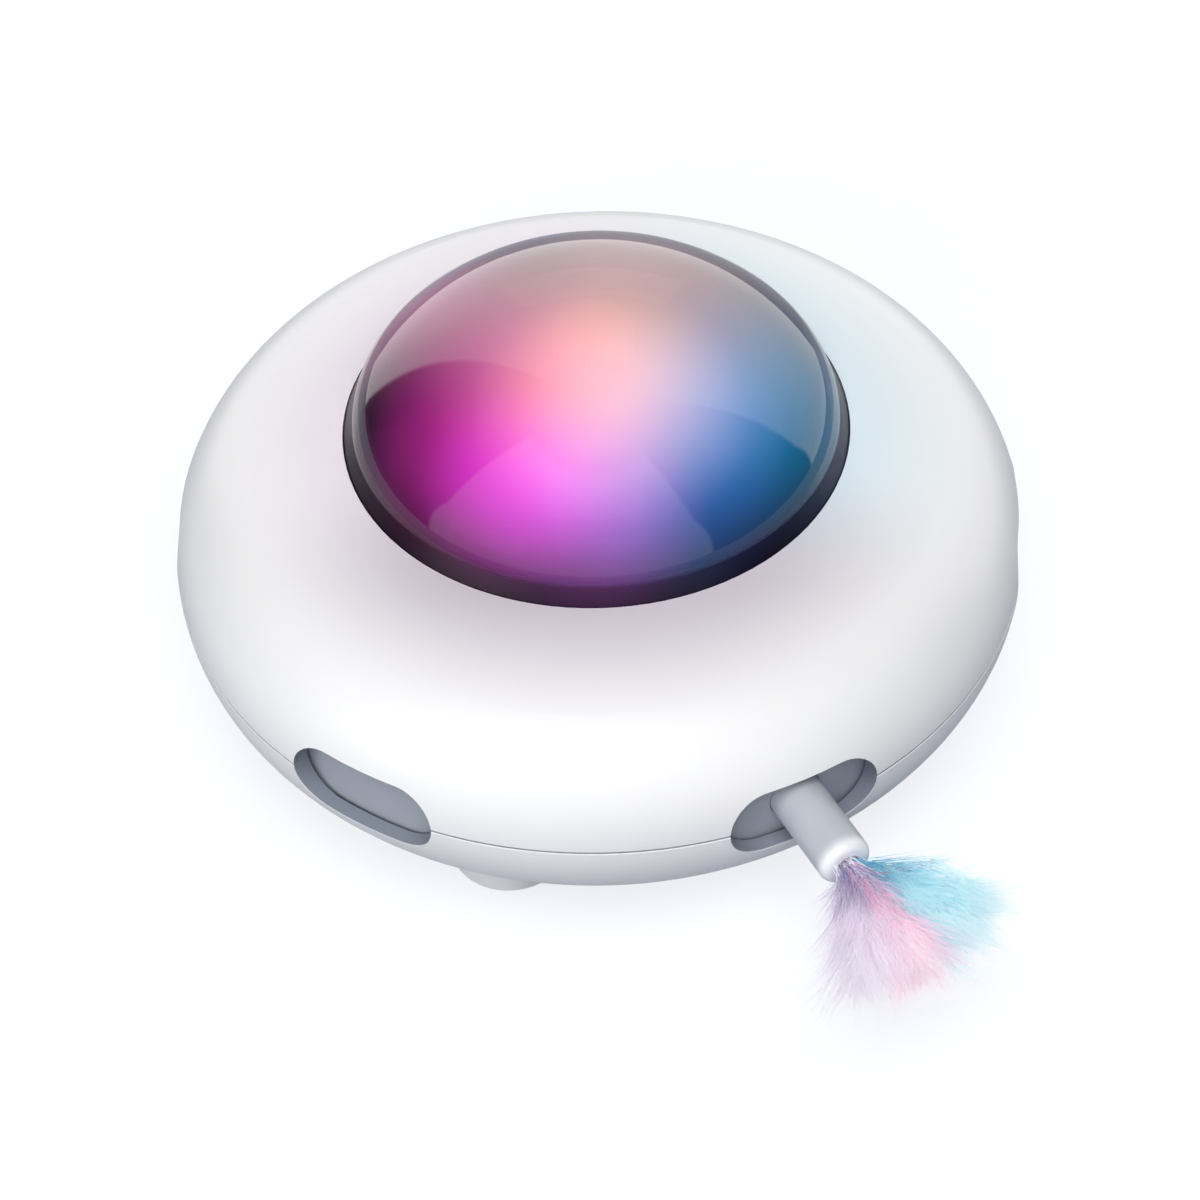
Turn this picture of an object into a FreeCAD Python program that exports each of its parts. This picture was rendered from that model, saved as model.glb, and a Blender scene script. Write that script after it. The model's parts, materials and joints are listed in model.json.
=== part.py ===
import FreeCAD, Part
import math
import os

import Sketcher

# Automatic cat toy: a round housing with six slots, a turning drum that pushes a feather rod out
# through a slot, and a smoked dome with lights and a turning laser head.
# Millimetres and degrees. +Z is up, the floor is z = 0, and the feather slot faces -Y.

SIZES = {
    # housing outline
    "body_radius": 94.0,
    "seam_height": 36.0,
    "shell_wall": 2.5,
    "upper_side_radius": 27.4,
    "crown_radius": 100.0,
    "crown_width": 39.0,
    "seat_height": 68.3,
    "lower_side_radius": 28.6,
    "belly_radius": 103.0,
    "belly_width": 34.0,
    "base_height": 3.8,
    "seam_groove": 0.4,
    "tongue_height": 1.5,
    "tongue_wall": 1.0,
    "tongue_inset": 0.2,
    "tongue_play": 0.15,
    # slots and their collars
    "slot_count": 6,
    "slot_length": 35.0,
    "slot_height": 17.6,
    "collar_wall": 1.6,
    # snap hooks between the two shells
    "hook_wall": 1.2,
    "hook_angle": 12.0,
    "hook_rise": 5.5,
    "hook_root": 5.0,
    "catch_spread": 1.0,
    "barb_depth": 0.7,
    "barb_height": 1.6,
    "barb_play": 0.25,
    # feet
    "foot_count": 4,
    "foot_inset": 27.0,
    "foot_radius": 10.8,
    "foot_recess": 1.2,
    "foot_height": 4.4,
    "foot_round": 2.0,
    "foot_play": 0.1,
    "foot_seat_wall": 1.8,
    "foot_seat_rise": 8.0,
    # smoked dome
    "dome_gap": 0.3,
    "dome_wall": 2.0,
    "band_height": 3.8,
    "band_taper": 1.9,
    "cap_rise": 30.3,
    "cap_flatness": 1.0825,
    "shoulder_radius": 18.8,
    "flange_width": 2.8,
    "flange_thickness": 2.0,
    "flange_drop": 3.5,
    # light tray and what it carries
    "tray_inset": 23.0,
    "tray_low": 56.0,
    "tray_thickness": 2.4,
    "clamp_width": 4.0,
    "clamp_play": 0.3,
    "board_thickness": 1.6,
    "light_board_inset": 3.7,
    "light_board_bore": 12.0,
    "light_board_rise": 2.0,
    "rib_width": 2.0,
    "led_count": 12,
    "led_inset": 11.0,
    "led_width": 5.0,
    "led_height": 1.6,
    "diffuser_inset": 1.0,
    "diffuser_wall": 1.6,
    "diffuser_rise": 23.0,
    "diffuser_hole": 3.4,
    "tray_screw_count": 6,
    "tray_screw_edge": 5.0,
    # screws
    "screw_radius": 1.3,
    "screw_play": 0.2,
    "screw_head_radius": 2.4,
    "screw_head_height": 1.6,
    "screw_length": 5.0,
    "boss_radius": 3.2,
    # centre column
    "column_radius": 6.0,
    "column_bore": 4.0,
    "neck_radius": 12.0,
    "column_flange_radius": 17.0,
    "column_flange_thickness": 3.0,
    "column_screw_count": 3,
    "column_screw_edge": 2.5,
    "axial_play": 0.3,
    # rotor drum
    "collar_depth": 4.8,
    "drum_wall": 2.0,
    "drum_low": 25.2,
    "drum_high": 46.6,
    "drum_floor": 2.0,
    "drum_chamfer": 1.0,
    "drum_gap": 0.8,
    "hub_radius": 9.0,
    "hub_rise": 1.2,
    "bearing_play": 0.05,
    "guide_wall": 1.5,
    "guide_height": 6.8,
    "guide_play": 0.2,
    "saddle_wall": 1.2,
    "saddle_height": 6.0,
    # turntable drive
    "ring_module": 1.5,
    "ring_teeth": 72,
    "ring_rim": 3.0,
    "ring_height": 4.8,
    "drive_teeth": 12,
    "gear_backlash": 0.3,
    "pinion_play": 0.5,
    "drive_shaft_radius": 1.5,
    "drive_motor_radius": 12.0,
    "drive_motor_height": 12.0,
    "drive_motor_boss": 4.0,
    "ear_spread": 15.5,
    "ear_thickness": 1.0,
    # slip rings
    "slip_board_bore": 14.0,
    "slip_board_radius": 28.0,
    "slip_track_inner": 18.0,
    "slip_track_outer": 23.5,
    "slip_track_width": 3.0,
    "slip_track_thickness": 0.2,
    "brush_width": 8.0,
    "brush_height": 3.0,
    # feather rod and its rack drive
    "rod_radius": 5.8,
    "rod_stand_out": 16.5,
    "rod_play": 0.15,
    "rod_round": 2.0,
    "socket_radius": 2.7,
    "socket_depth": 12.0,
    "carriage_gap": 2.4,
    "carriage_stop": 1.0,
    "carriage_length": 14.0,
    "carriage_half_width": 8.1,
    "carriage_rise": 7.5,
    "grip_play": 0.05,
    "rack_module": 0.8,
    "rack_addendum": 0.48,
    "rack_near": 10.5,
    "rack_width": 5.0,
    "rack_overlap": 3.0,
    "rack_back": 3.0,
    "rod_pinion_teeth": 12,
    "rack_backlash": 0.25,
    "rod_gear_width": 4.0,
    "rod_gear_height": 33.2,
    "rod_motor_near": 17.0,
    "rod_motor_length": 24.0,
    "rod_motor_gearbox": 9.0,
    "rod_motor_width": 12.0,
    "rod_motor_height": 10.0,
    "rod_shaft_radius": 1.5,
    # feather
    "quill_radius": 2.4,
    "plume_length": 43.0,
    "plume_half_width": 19.0,
    "plume_half_height": 11.0,
    # laser head
    "laser_motor_radius": 8.0,
    "laser_motor_height": 12.0,
    "laser_shaft_radius": 2.0,
    "turret_radius": 8.5,
    "turret_low": 87.5,
    "turret_height": 10.0,
    "turret_round": 2.0,
    "laser_module_radius": 3.0,
    "laser_module_length": 7.5,
    "laser_tilt": 20.0,
    "laser_lens_radius": 2.0,
    "laser_lens_thickness": 0.8,
    # main board, charging socket, battery and button
    "main_board_half_width": 22.0,
    "main_board_depth": 34.0,
    "main_board_height": 13.0,
    "tongue_length": 8.0,
    "tongue_half_width": 7.0,
    "post_radius": 2.8,
    "post_inset": 4.0,
    "socket_half_width": 4.5,
    "socket_height": 3.2,
    "socket_inset": 12.2,
    "socket_overhang": 5.8,
    "socket_length": 7.4,
    "socket_wall": 0.4,
    "port_play": 0.4,
    "battery_width": 50.0,
    "battery_depth": 34.0,
    "battery_height": 8.0,
    "battery_gap": 3.0,
    "button_inset": 16.0,
    "button_radius": 6.0,
    "button_play": 0.25,
    "button_flange": 1.5,
    "button_flange_thickness": 1.0,
    "button_stem_radius": 2.0,
    "button_travel": 0.8,
    "switch_width": 6.0,
    "switch_height": 2.8,
}

DOC = FreeCAD.newDocument("CatToy")
SHEET = DOC.addObject("Spreadsheet::Sheet", "Sizes")


class Size:
    """A length or angle that knows both its value and its expression in the sheet."""

    def __init__(self, value, text):
        self.value = float(value)
        self.text = text

    def __add__(self, other):
        other = size(other)
        return Size(self.value + other.value, f"({self.text} + {other.text})")

    def __sub__(self, other):
        other = size(other)
        return Size(self.value - other.value, f"({self.text} - {other.text})")

    def __rsub__(self, other):
        return size(other) - self

    def __mul__(self, other):
        other = size(other)
        return Size(self.value * other.value, f"({self.text} * {other.text})")

    def __truediv__(self, other):
        other = size(other)
        return Size(self.value / other.value, f"({self.text} / {other.text})")

    def __rtruediv__(self, other):
        return size(other) / self

    def __neg__(self):
        return Size(-self.value, f"(-1 * {self.text})")

    __radd__ = __add__
    __rmul__ = __mul__


class Guess(float):
    """A starting value for a coordinate that the sketch's other constraints settle."""


class Arc:
    """An arc between two corners.

    Its centre lies left or right of the way from the first corner to the second. It has a radius, or
    it shares its centre with an earlier edge (like), or both. level is the centre's height, and axial
    puts the centre on the upright axis. across is the place of a half-round's centre, which settles it.
    """

    def __init__(self, radius=None, left=True, level=None, like=None, axial=False, across=None):
        self.radius = radius
        self.left = left
        self.level = level
        self.like = like
        self.axial = axial
        self.across = across


def size(amount):
    """Any number as a Size."""
    if isinstance(amount, Size):
        return amount
    return Size(amount, repr(float(amount)))


def fill_sheet():
    """Writes the driving sizes into the sheet, one aliased cell for each."""
    for row, (name, amount) in enumerate(SIZES.items(), start=1):
        SHEET.set(f"A{row}", str(amount))
        SHEET.setAlias(f"A{row}", name)
    DOC.recompute()


class Sheet:
    """Gives each cell of the sheet as a Size."""

    def __getattr__(self, name):
        return Size(SHEET.get(name), f"Sizes.{name}")


S = Sheet()


def cosine(angle):
    """Cosine of an angle in degrees."""
    angle = size(angle)
    return Size(math.cos(math.radians(angle.value)), f"cos({angle.text})")


def sine(angle):
    """Sine of an angle in degrees."""
    angle = size(angle)
    return Size(math.sin(math.radians(angle.value)), f"sin({angle.text})")


def arcsine(ratio):
    """Angle in degrees whose sine is the ratio."""
    return Size(math.degrees(math.asin(ratio.value)), f"(asin({ratio.text}) / 1 deg)")


def origin_feature(body, role):
    """One of a body's own origin planes or axes."""
    return next(item for item in body.Origin.OriginFeatures if item.Role == role)


def bind(feature, **amounts):
    """Ties properties of a feature to the sheet."""
    for name, amount in amounts.items():
        feature.setExpression(name, size(amount).text)


def new_body(label):
    """An empty PartDesign body with its own label."""
    body = DOC.addObject("PartDesign::Body", label)
    body.Label = label
    return body


def place(item, x=None, y=None, z=None, angle=None, axis=None):
    """Ties an item's placement to the sheet."""
    for name, amount in (("x", x), ("y", y), ("z", z)):
        if amount is not None:
            item.setExpression(f"Placement.Base.{name}", size(amount).text)
    if angle is not None:
        item.Placement = FreeCAD.Placement(FreeCAD.Vector(), FreeCAD.Rotation(axis, size(angle).value))
        item.setExpression("Placement.Rotation.Angle", size(angle).text)
    return item


def new_sketch(body, name, role, offset=None):
    """A sketch on one of the body's origin planes, moved along the plane's normal."""
    sketch = body.newObject("Sketcher::SketchObject", name)
    sketch.AttachmentSupport = [(origin_feature(body, role), "")]
    sketch.MapMode = "FlatFace"
    if offset is not None:
        sketch.setExpression("AttachmentOffset.Base.z", size(offset).text)
    return sketch


def tie(sketch, kind, edge, end, amount):
    """Fixes one coordinate of a point from the sketch's origin."""
    axis = -2 if kind == "DistanceX" else -1
    if not isinstance(amount, Size) and amount == 0:
        sketch.addConstraint(Sketcher.Constraint("PointOnObject", edge, end, axis))
        return
    amount = size(amount)
    index = sketch.addConstraint(Sketcher.Constraint(kind, -1, 1, edge, end, amount.value))
    sketch.setExpression(f"Constraints[{index}]", amount.text)


def tie_radius(sketch, edge, amount):
    """Fixes the radius of an arc or circle."""
    amount = size(amount)
    index = sketch.addConstraint(Sketcher.Constraint("Radius", edge, amount.value))
    sketch.setExpression(f"Constraints[{index}]", amount.text)


def plain(coordinate):
    """A coordinate's present value."""
    return coordinate.value if isinstance(coordinate, Size) else float(coordinate)


def arc_curve(arc, start, finish, centre):
    """The arc from start to finish, and the numbers of its two ends in that order."""
    if centre is None:
        middle = (start + finish) * 0.5
        chord = finish - start
        reach = size(arc.radius).value
        height = math.sqrt(max(reach * reach - chord.Length * chord.Length / 4, 0.0))
        side = FreeCAD.Vector(-chord.y, chord.x, 0).normalize()
        centre = middle + side * (height if arc.left else -height)
    reach = (start - centre).Length
    first, last = (start, finish) if arc.left else (finish, start)
    circle = Part.Circle(centre, FreeCAD.Vector(0, 0, 1), reach)
    low = math.atan2(first.y - centre.y, first.x - centre.x)
    high = math.atan2(last.y - centre.y, last.x - centre.x)
    ends = (1, 2) if arc.left else (2, 1)
    return Part.ArcOfCircle(circle, low, high), ends, centre


def outline(body, name, role, corners, arcs=None, offset=None):
    """A closed outline of lines and arcs with its corners tied to the sheet.

    A corner with a Guess for both coordinates is where two arcs meet smoothly.
    """
    sketch = new_sketch(body, name, role, offset)
    arcs = arcs or {}
    points = [FreeCAD.Vector(plain(x), plain(y), 0) for x, y in corners]
    ends = []
    centres = {}
    for edge, start in enumerate(points):
        finish = points[(edge + 1) % len(points)]
        arc = arcs.get(edge)
        if arc is None:
            sketch.addGeometry(Part.LineSegment(start, finish), False)
            ends.append((1, 2))
            continue
        curve, order, centres[edge] = arc_curve(arc, start, finish, centres.get(arc.like))
        sketch.addGeometry(curve, False)
        ends.append(order)
    for edge, (x, y) in enumerate(corners):
        before = (edge - 1) % len(corners)
        smooth = isinstance(x, Guess) and isinstance(y, Guess)
        kind = "Tangent" if smooth else "Coincident"
        sketch.addConstraint(Sketcher.Constraint(kind, before, ends[before][1], edge, ends[edge][0]))
        if not isinstance(x, Guess):
            tie(sketch, "DistanceX", edge, ends[edge][0], x)
        if not isinstance(y, Guess):
            tie(sketch, "DistanceY", edge, ends[edge][0], y)
    for edge, arc in arcs.items():
        if arc.like is not None:
            sketch.addConstraint(Sketcher.Constraint("Coincident", arc.like, 3, edge, 3))
        if arc.across is not None:
            tie(sketch, "DistanceX", edge, 3, arc.across)
        elif arc.radius is not None:
            tie_radius(sketch, edge, arc.radius)
        if arc.level is not None:
            tie(sketch, "DistanceY", edge, 3, arc.level)
        if arc.axial:
            tie(sketch, "DistanceX", edge, 3, 0)
    return sketch


def rectangle(body, name, role, left, right, low, high, offset=None):
    """A rectangle between two widths and two heights."""
    corners = [(left, low), (right, low), (right, high), (left, high)]
    return outline(body, name, role, corners, offset=offset)


def circle(body, name, role, x, y, radius, offset=None):
    """A circle tied to the sheet."""
    sketch = new_sketch(body, name, role, offset)
    centre = FreeCAD.Vector(plain(x), plain(y), 0)
    sketch.addGeometry(Part.Circle(centre, FreeCAD.Vector(0, 0, 1), size(radius).value), False)
    tie(sketch, "DistanceX", 0, 3, x)
    tie(sketch, "DistanceY", 0, 3, y)
    tie_radius(sketch, 0, radius)
    return sketch


def obround(body, name, role, level, length, height, offset=None):
    """A slot outline with full-round ends, centred on the vertical axis."""
    half = (length - height) / 2
    bottom = level - height / 2
    top = level + height / 2
    corners = [(-half, bottom), (half, bottom), (half, top), (-half, top)]
    arcs = {1: Arc(height / 2, across=half), 3: Arc(height / 2, across=-half)}
    return outline(body, name, role, corners, arcs, offset)


def revolve(body, sketch, angle=None, cut=False):
    """Turns a profile about the body's Z axis, all round or over a sector centred on its plane."""
    kind = "PartDesign::Groove" if cut else "PartDesign::Revolution"
    feature = body.newObject(kind, sketch.Name + "_turned")
    feature.Profile = sketch
    feature.ReferenceAxis = (origin_feature(body, "Z_Axis"), [""])
    feature.Angle = 360.0
    if angle is not None:
        feature.Midplane = True
        bind(feature, Angle=angle)
    return feature


def pad(body, sketch, length):
    """Raises a sketch along its normal."""
    feature = body.newObject("PartDesign::Pad", sketch.Name + "_raised")
    feature.Profile = sketch
    bind(feature, Length=length)
    return feature


def pocket(body, sketch, length, along=False):
    """Cuts a sketch into the body, against its normal or along it."""
    feature = body.newObject("PartDesign::Pocket", sketch.Name + "_cut")
    feature.Profile = sketch
    feature.Reversed = along
    bind(feature, Length=length)
    return feature


def around(body, features, count):
    """Repeats features at equal steps about the body's Z axis."""
    pattern = body.newObject("PartDesign::PolarPattern", features[0].Name + "_round")
    pattern.Originals = features
    pattern.Axis = (origin_feature(body, "Z_Axis"), [""])
    pattern.Angle = 360.0
    bind(pattern, Occurrences=count)
    body.Tip = pattern
    return pattern


def shapes_node(label, shape):
    """A sub-part made directly from Part shapes."""
    item = DOC.addObject("Part::Feature", label)
    item.Label = label
    item.Shape = shape
    return item


# ---------------------------------------------------------------- places shared by several pieces

fill_sheet()

FLOOR_INSIDE = S.base_height + S.shell_wall
SEAT_RADIUS = S.body_radius - S.crown_width
BASE_RADIUS = S.body_radius - S.belly_width
FOOT_CIRCLE = S.body_radius - S.foot_inset
COLLAR_INNER = S.body_radius - S.collar_depth
DRUM_RADIUS = COLLAR_INNER - S.drum_gap
COLLAR_ANGLE = 2 * arcsine((S.slot_length / 2 + S.collar_wall) / DRUM_RADIUS)
COLLAR_RISE = S.slot_height / 2 + S.collar_wall
TRAY_RADIUS = S.body_radius - S.tray_inset
TRAY_SCREW_CIRCLE = TRAY_RADIUS - S.tray_screw_edge
TRAY_TOP = S.tray_low + S.tray_thickness
DOME_RADIUS = SEAT_RADIUS - S.dome_gap
SHOULDER_RADIUS = DOME_RADIUS - S.band_taper
SHOULDER_HEIGHT = S.seat_height + S.band_height
CAP_BALL = (SHOULDER_RADIUS * SHOULDER_RADIUS / S.cap_rise + S.cap_rise) / 2
CAP_RADIUS = CAP_BALL * S.cap_flatness
FLANGE_TOP = S.seat_height - S.flange_drop
FLANGE_LOW = FLANGE_TOP - S.flange_thickness
LIGHT_BOARD_RADIUS = DOME_RADIUS - S.dome_wall - S.light_board_inset
LIGHT_BOARD_LOW = TRAY_TOP + S.light_board_rise
LIGHT_BOARD_TOP = LIGHT_BOARD_LOW + S.board_thickness
DIFFUSER_RADIUS = LIGHT_BOARD_RADIUS - S.diffuser_inset
LED_CIRCLE = LIGHT_BOARD_RADIUS - S.led_inset
COLUMN_SCREW_CIRCLE = S.column_flange_radius - S.column_screw_edge
DRUM_FLOOR_TOP = S.drum_low + S.drum_floor
RING_PITCH = S.ring_module * S.ring_teeth / 2
DRIVE_PITCH = S.ring_module * S.drive_teeth / 2
DRIVE_PLACE = RING_PITCH - DRIVE_PITCH
RING_LOW = S.drum_low - S.ring_height
DRIVE_MOTOR_TOP = FLOOR_INSIDE + S.drive_motor_height
SLIP_BOARD_LOW = S.drum_low - S.board_thickness
SLIP_TRACK_LOW = SLIP_BOARD_LOW - S.slip_track_thickness
ROD_REACH = S.body_radius + S.rod_stand_out
ROD_PITCH = S.rack_module * S.rod_pinion_teeth / 2
RACK_PITCH_HEIGHT = S.rod_gear_height + ROD_PITCH
CARRIAGE_OUTER = DRUM_RADIUS - S.drum_wall - S.carriage_gap
CARRIAGE_INNER = CARRIAGE_OUTER - S.carriage_length
ROD_TRAVEL = CARRIAGE_INNER - S.hub_radius - S.carriage_stop
ROD_GEAR_PLACE = CARRIAGE_OUTER - ROD_TRAVEL - S.rack_overlap
RACK_INNER = ROD_GEAR_PLACE - S.rack_overlap
SOCKET_MOUTH = S.body_radius - S.socket_inset
MAIN_BOARD_TOP = S.main_board_height + S.board_thickness
MAIN_BOARD_END = SOCKET_MOUTH - S.socket_overhang
MAIN_BOARD_FAR = MAIN_BOARD_END - S.tongue_length
MAIN_BOARD_NEAR = MAIN_BOARD_FAR - S.main_board_depth
BUTTON_PLACE = MAIN_BOARD_NEAR + S.button_inset
BATTERY_NEAR = S.column_flange_radius + S.battery_gap
TONGUE_INNER = S.body_radius - S.shell_wall + S.tongue_inset
TONGUE_OUTER = TONGUE_INNER + S.tongue_wall
HOOK_OUTER = S.body_radius - S.shell_wall - S.barb_depth + S.barb_play / 2
HOOK_INNER = HOOK_OUTER - S.hook_wall
RACK_PITCH = math.pi * S.rack_module
PRESSURE_ANGLE = 20.0
GEAR_ADDENDUM = 0.8
GEAR_DEDENDUM = 1.2
FLANK_STEPS = 3
LEAST_SHARE_LEFT = 0.1
# plume sections: shares of its length, of its half width and of its half height
PLUME_STATIONS = (
    (0.22, 0.52, 0.62),
    (0.5, 0.9, 1.0),
    (0.75, 1.0, 0.92),
    (0.92, 0.68, 0.58),
    (1.0, 0.22, 0.18),
)
QUILL_FLATNESS = 0.98
DOWN = FreeCAD.Vector(0, 0, -1)
UP = FreeCAD.Vector(0, 0, 1)


def knee(side_x, side_radius, big_radius, end_x, end_y):
    """Where a side arc centred at (side_x, 0) runs smoothly into a larger arc that ends at a point.

    The larger arc's centre lies as far from the side arc's centre as their radii differ, and one
    large radius from the end point.
    """
    gap = big_radius - side_radius
    reach = math.hypot(end_x - side_x, end_y)
    along = (gap * gap - big_radius * big_radius + reach * reach) / (2 * reach)
    aside = math.sqrt(gap * gap - along * along)
    unit_x = (end_x - side_x) / reach
    unit_y = end_y / reach
    centres = [
        (side_x + along * unit_x - way * aside * unit_y, along * unit_y + way * aside * unit_x)
        for way in (1, -1)
    ]
    centre_x, centre_y = min(centres, key=lambda centre: centre[1] * unit_y)
    return side_x + side_radius * (side_x - centre_x) / gap, -side_radius * centre_y / gap


# ---------------------------------------------------------------- the two shells


def shell_profile(body, end_x, end_y, side_radius, big_radius, up):
    """The wall of one shell: a side arc from the seam and a flatter arc, both doubled inside."""
    wall = S.shell_wall
    side_x = S.body_radius - side_radius
    drop = end_y.value - S.seam_height.value
    args = (side_x.value, side_radius.value, big_radius.value, end_x.value, drop)
    outer_x, outer_y = knee(*args)
    thin = (side_x.value, side_radius.value - wall.value, big_radius.value - wall.value)
    scale = thin[1] / side_radius.value
    inner_x = side_x.value + (outer_x - side_x.value) * scale
    inner_y = outer_y * scale
    seam = S.seam_height
    outer_knee = (Guess(outer_x), Guess(outer_y + seam.value))
    inner_knee = (Guess(inner_x), Guess(inner_y + seam.value))
    if up:
        corners = [
            (S.body_radius, seam),
            outer_knee,
            (end_x, end_y),
            (end_x, Guess(end_y.value - wall.value)),
            inner_knee,
            (S.body_radius - wall, seam),
        ]
        arcs = {
            0: Arc(side_radius, True, seam),
            1: Arc(big_radius, True),
            3: Arc(None, False, None, 1),
            4: Arc(side_radius - wall, False, seam),
        }
    else:
        corners = [
            (S.body_radius, seam),
            outer_knee,
            (end_x, end_y),
            (0, end_y),
            (0, end_y + wall),
            (Guess(end_x.value), end_y + wall),
            inner_knee,
            (S.body_radius - wall, seam),
        ]
        arcs = {
            0: Arc(side_radius, False, seam),
            1: Arc(big_radius, False),
            5: Arc(None, True, None, 1),
            6: Arc(side_radius - wall, True, seam),
        }
    return outline(body, "wall", "XZ_Plane", corners, arcs)


def seam_groove(body, way):
    """The fine shadow groove that runs round the outside of the seam."""
    rim = S.body_radius
    seam = S.seam_height
    corners = [
        (rim - S.seam_groove, seam),
        (rim + S.seam_groove, seam),
        (rim + S.seam_groove, seam + way * 2 * S.seam_groove),
    ]
    return revolve(body, outline(body, "shadow_groove", "XZ_Plane", corners), cut=True)


def collars(body, side_radius, way):
    """Six thick bands behind the slots that carry the slots' walls in towards the drum."""
    seam = S.seam_height
    far = seam + way * COLLAR_RISE
    half_wall = S.shell_wall / 2
    centre_x = S.body_radius - side_radius
    middle = side_radius - half_wall
    rise = COLLAR_RISE.value
    far_x = centre_x.value + math.sqrt(middle.value**2 - rise**2)
    corners = [
        (COLLAR_INNER, seam),
        (S.body_radius - half_wall, seam),
        (Guess(far_x), far),
        (COLLAR_INNER, far),
    ]
    arcs = {1: Arc(middle, way > 0, seam)}
    band = outline(body, "collar_band", "YZ_Plane", corners, arcs)
    return around(body, [revolve(body, band, COLLAR_ANGLE)], S.slot_count)


def slots(body):
    """The six obround slots, each cut outwards from the drum's wall with parallel sides."""
    start = DRUM_RADIUS - S.drum_wall
    mouth = obround(
        body, "slot", "XZ_Plane", S.seam_height, S.slot_length, S.slot_height, -start
    )
    reach = S.body_radius + S.shell_wall - start
    return around(body, [pocket(body, mouth, reach)], S.slot_count)


def make_top_shell():
    """Upper shell: a ring-shaped crown round the dome seat, with the upper halves of the slots."""
    body = new_body("top_shell")
    wall = shell_profile(body, SEAT_RADIUS, S.seat_height, S.upper_side_radius, S.crown_radius, True)
    revolve(body, wall)
    seam = S.seam_height
    relief_top = seam + S.tongue_height + S.tongue_play
    relief_inner = S.body_radius - 2 * S.shell_wall
    relief_outer = TONGUE_OUTER + S.tongue_play
    relief = rectangle(
        body, "tongue_relief", "XZ_Plane", relief_inner, relief_outer, seam, relief_top
    )
    revolve(body, relief, cut=True)
    collars(body, S.upper_side_radius, 1)
    run = rectangle(
        body, "tongue_run", "XZ_Plane", TONGUE_INNER - S.tongue_play, relief_outer, seam, relief_top
    )
    revolve(body, run, cut=True)
    seam_groove(body, 1)
    slots(body)
    barb_low = seam + S.hook_rise - S.barb_height - S.barb_play
    barb_high = seam + S.hook_rise + S.barb_play
    barb_outer = HOOK_OUTER + S.barb_depth + S.barb_play
    catch = rectangle(body, "catch", "XZ_Plane", HOOK_INNER, barb_outer, barb_low, barb_high)
    around(body, [revolve(body, catch, S.hook_angle + S.catch_spread, cut=True)], S.slot_count)
    boss = circle(body, "boss", "XY_Plane", TRAY_SCREW_CIRCLE, 0, S.boss_radius, TRAY_TOP)
    raised = body.newObject("PartDesign::Pad", "boss_raised")
    raised.Profile = boss
    raised.Type = "UpToFirst"
    hole = circle(
        body, "boss_hole", "XY_Plane", TRAY_SCREW_CIRCLE, 0, S.screw_radius, TRAY_TOP
    )
    drilled = pocket(body, hole, S.screw_length - S.tray_thickness + S.screw_play, along=True)
    around(body, [raised, drilled], S.tray_screw_count)
    return body


def make_base_shell():
    """Lower shell: a shallow bowl with a flat base, the lower halves of the slots and all posts."""
    body = new_body("base_shell")
    wall = shell_profile(body, BASE_RADIUS, S.base_height, S.lower_side_radius, S.belly_radius, False)
    revolve(body, wall)
    seam = S.seam_height
    low = seam - S.tongue_height
    high = seam + S.tongue_height
    tongue = rectangle(body, "tongue", "XZ_Plane", TONGUE_INNER, TONGUE_OUTER, low, high)
    revolve(body, tongue)
    hook_corners = [
        (HOOK_INNER, seam - S.hook_root),
        (TONGUE_OUTER, seam - S.hook_root),
        (TONGUE_OUTER, seam - S.tongue_height),
        (HOOK_OUTER, seam - S.tongue_height / 2),
        (HOOK_OUTER, seam + S.hook_rise - S.barb_height),
        (HOOK_OUTER + S.barb_depth, seam + S.hook_rise - S.barb_height),
        (HOOK_OUTER, seam + S.hook_rise),
        (HOOK_INNER, seam + S.hook_rise),
    ]
    hook = revolve(body, outline(body, "hook", "XZ_Plane", hook_corners), S.hook_angle)
    around(body, [hook], S.slot_count)
    collars(body, S.lower_side_radius, -1)
    seam_groove(body, -1)
    slots(body)
    foot_seats(body)
    standing_posts(body)
    charging_port(body)
    button_hole(body)
    return body


def foot_seats(body):
    """Four round cups through the bowl, each with a shallow recess under its floor for a foot."""
    turn = 180 / S.foot_count
    x = FOOT_CIRCLE * cosine(turn)
    y = FOOT_CIRCLE * sine(turn)
    seat_low = S.foot_height - S.foot_recess
    seat_top = S.base_height + S.foot_seat_rise
    floor_top = S.foot_height + S.foot_seat_wall
    outer = S.foot_radius + S.foot_seat_wall
    seat = circle(body, "foot_seat", "XY_Plane", x, y, outer, seat_low)
    raised = pad(body, seat, seat_top - seat_low)
    reach = S.foot_radius + S.foot_play
    recess = circle(body, "foot_recess", "XY_Plane", x, y, reach, seat_low)
    sunk = pocket(body, recess, S.foot_recess, along=True)
    cup = circle(body, "foot_cup", "XY_Plane", x, y, S.foot_radius, floor_top)
    hollow = pocket(body, cup, seat_top - floor_top, along=True)
    return around(body, [raised, sunk, hollow], S.foot_count)


def standing_posts(body):
    """Posts that rise from the base: four under the main board and two at the drive motor."""
    for number, (x, y) in enumerate(board_screw_places(), start=1):
        post(body, f"board_post_{number}", x, y, S.main_board_height)
    for number, (x, y) in enumerate(motor_screw_places(), start=1):
        post(body, f"motor_post_{number}", x, y, DRIVE_MOTOR_TOP - S.ear_thickness)


def post(body, name, x, y, top):
    """A round post on the base floor with a screw hole in its top."""
    stem = circle(body, name, "XY_Plane", x, y, S.post_radius, S.base_height)
    pad(body, stem, top - S.base_height)
    hole = circle(body, name + "_hole", "XY_Plane", x, y, S.screw_radius, top)
    pocket(body, hole, S.screw_length)


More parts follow.
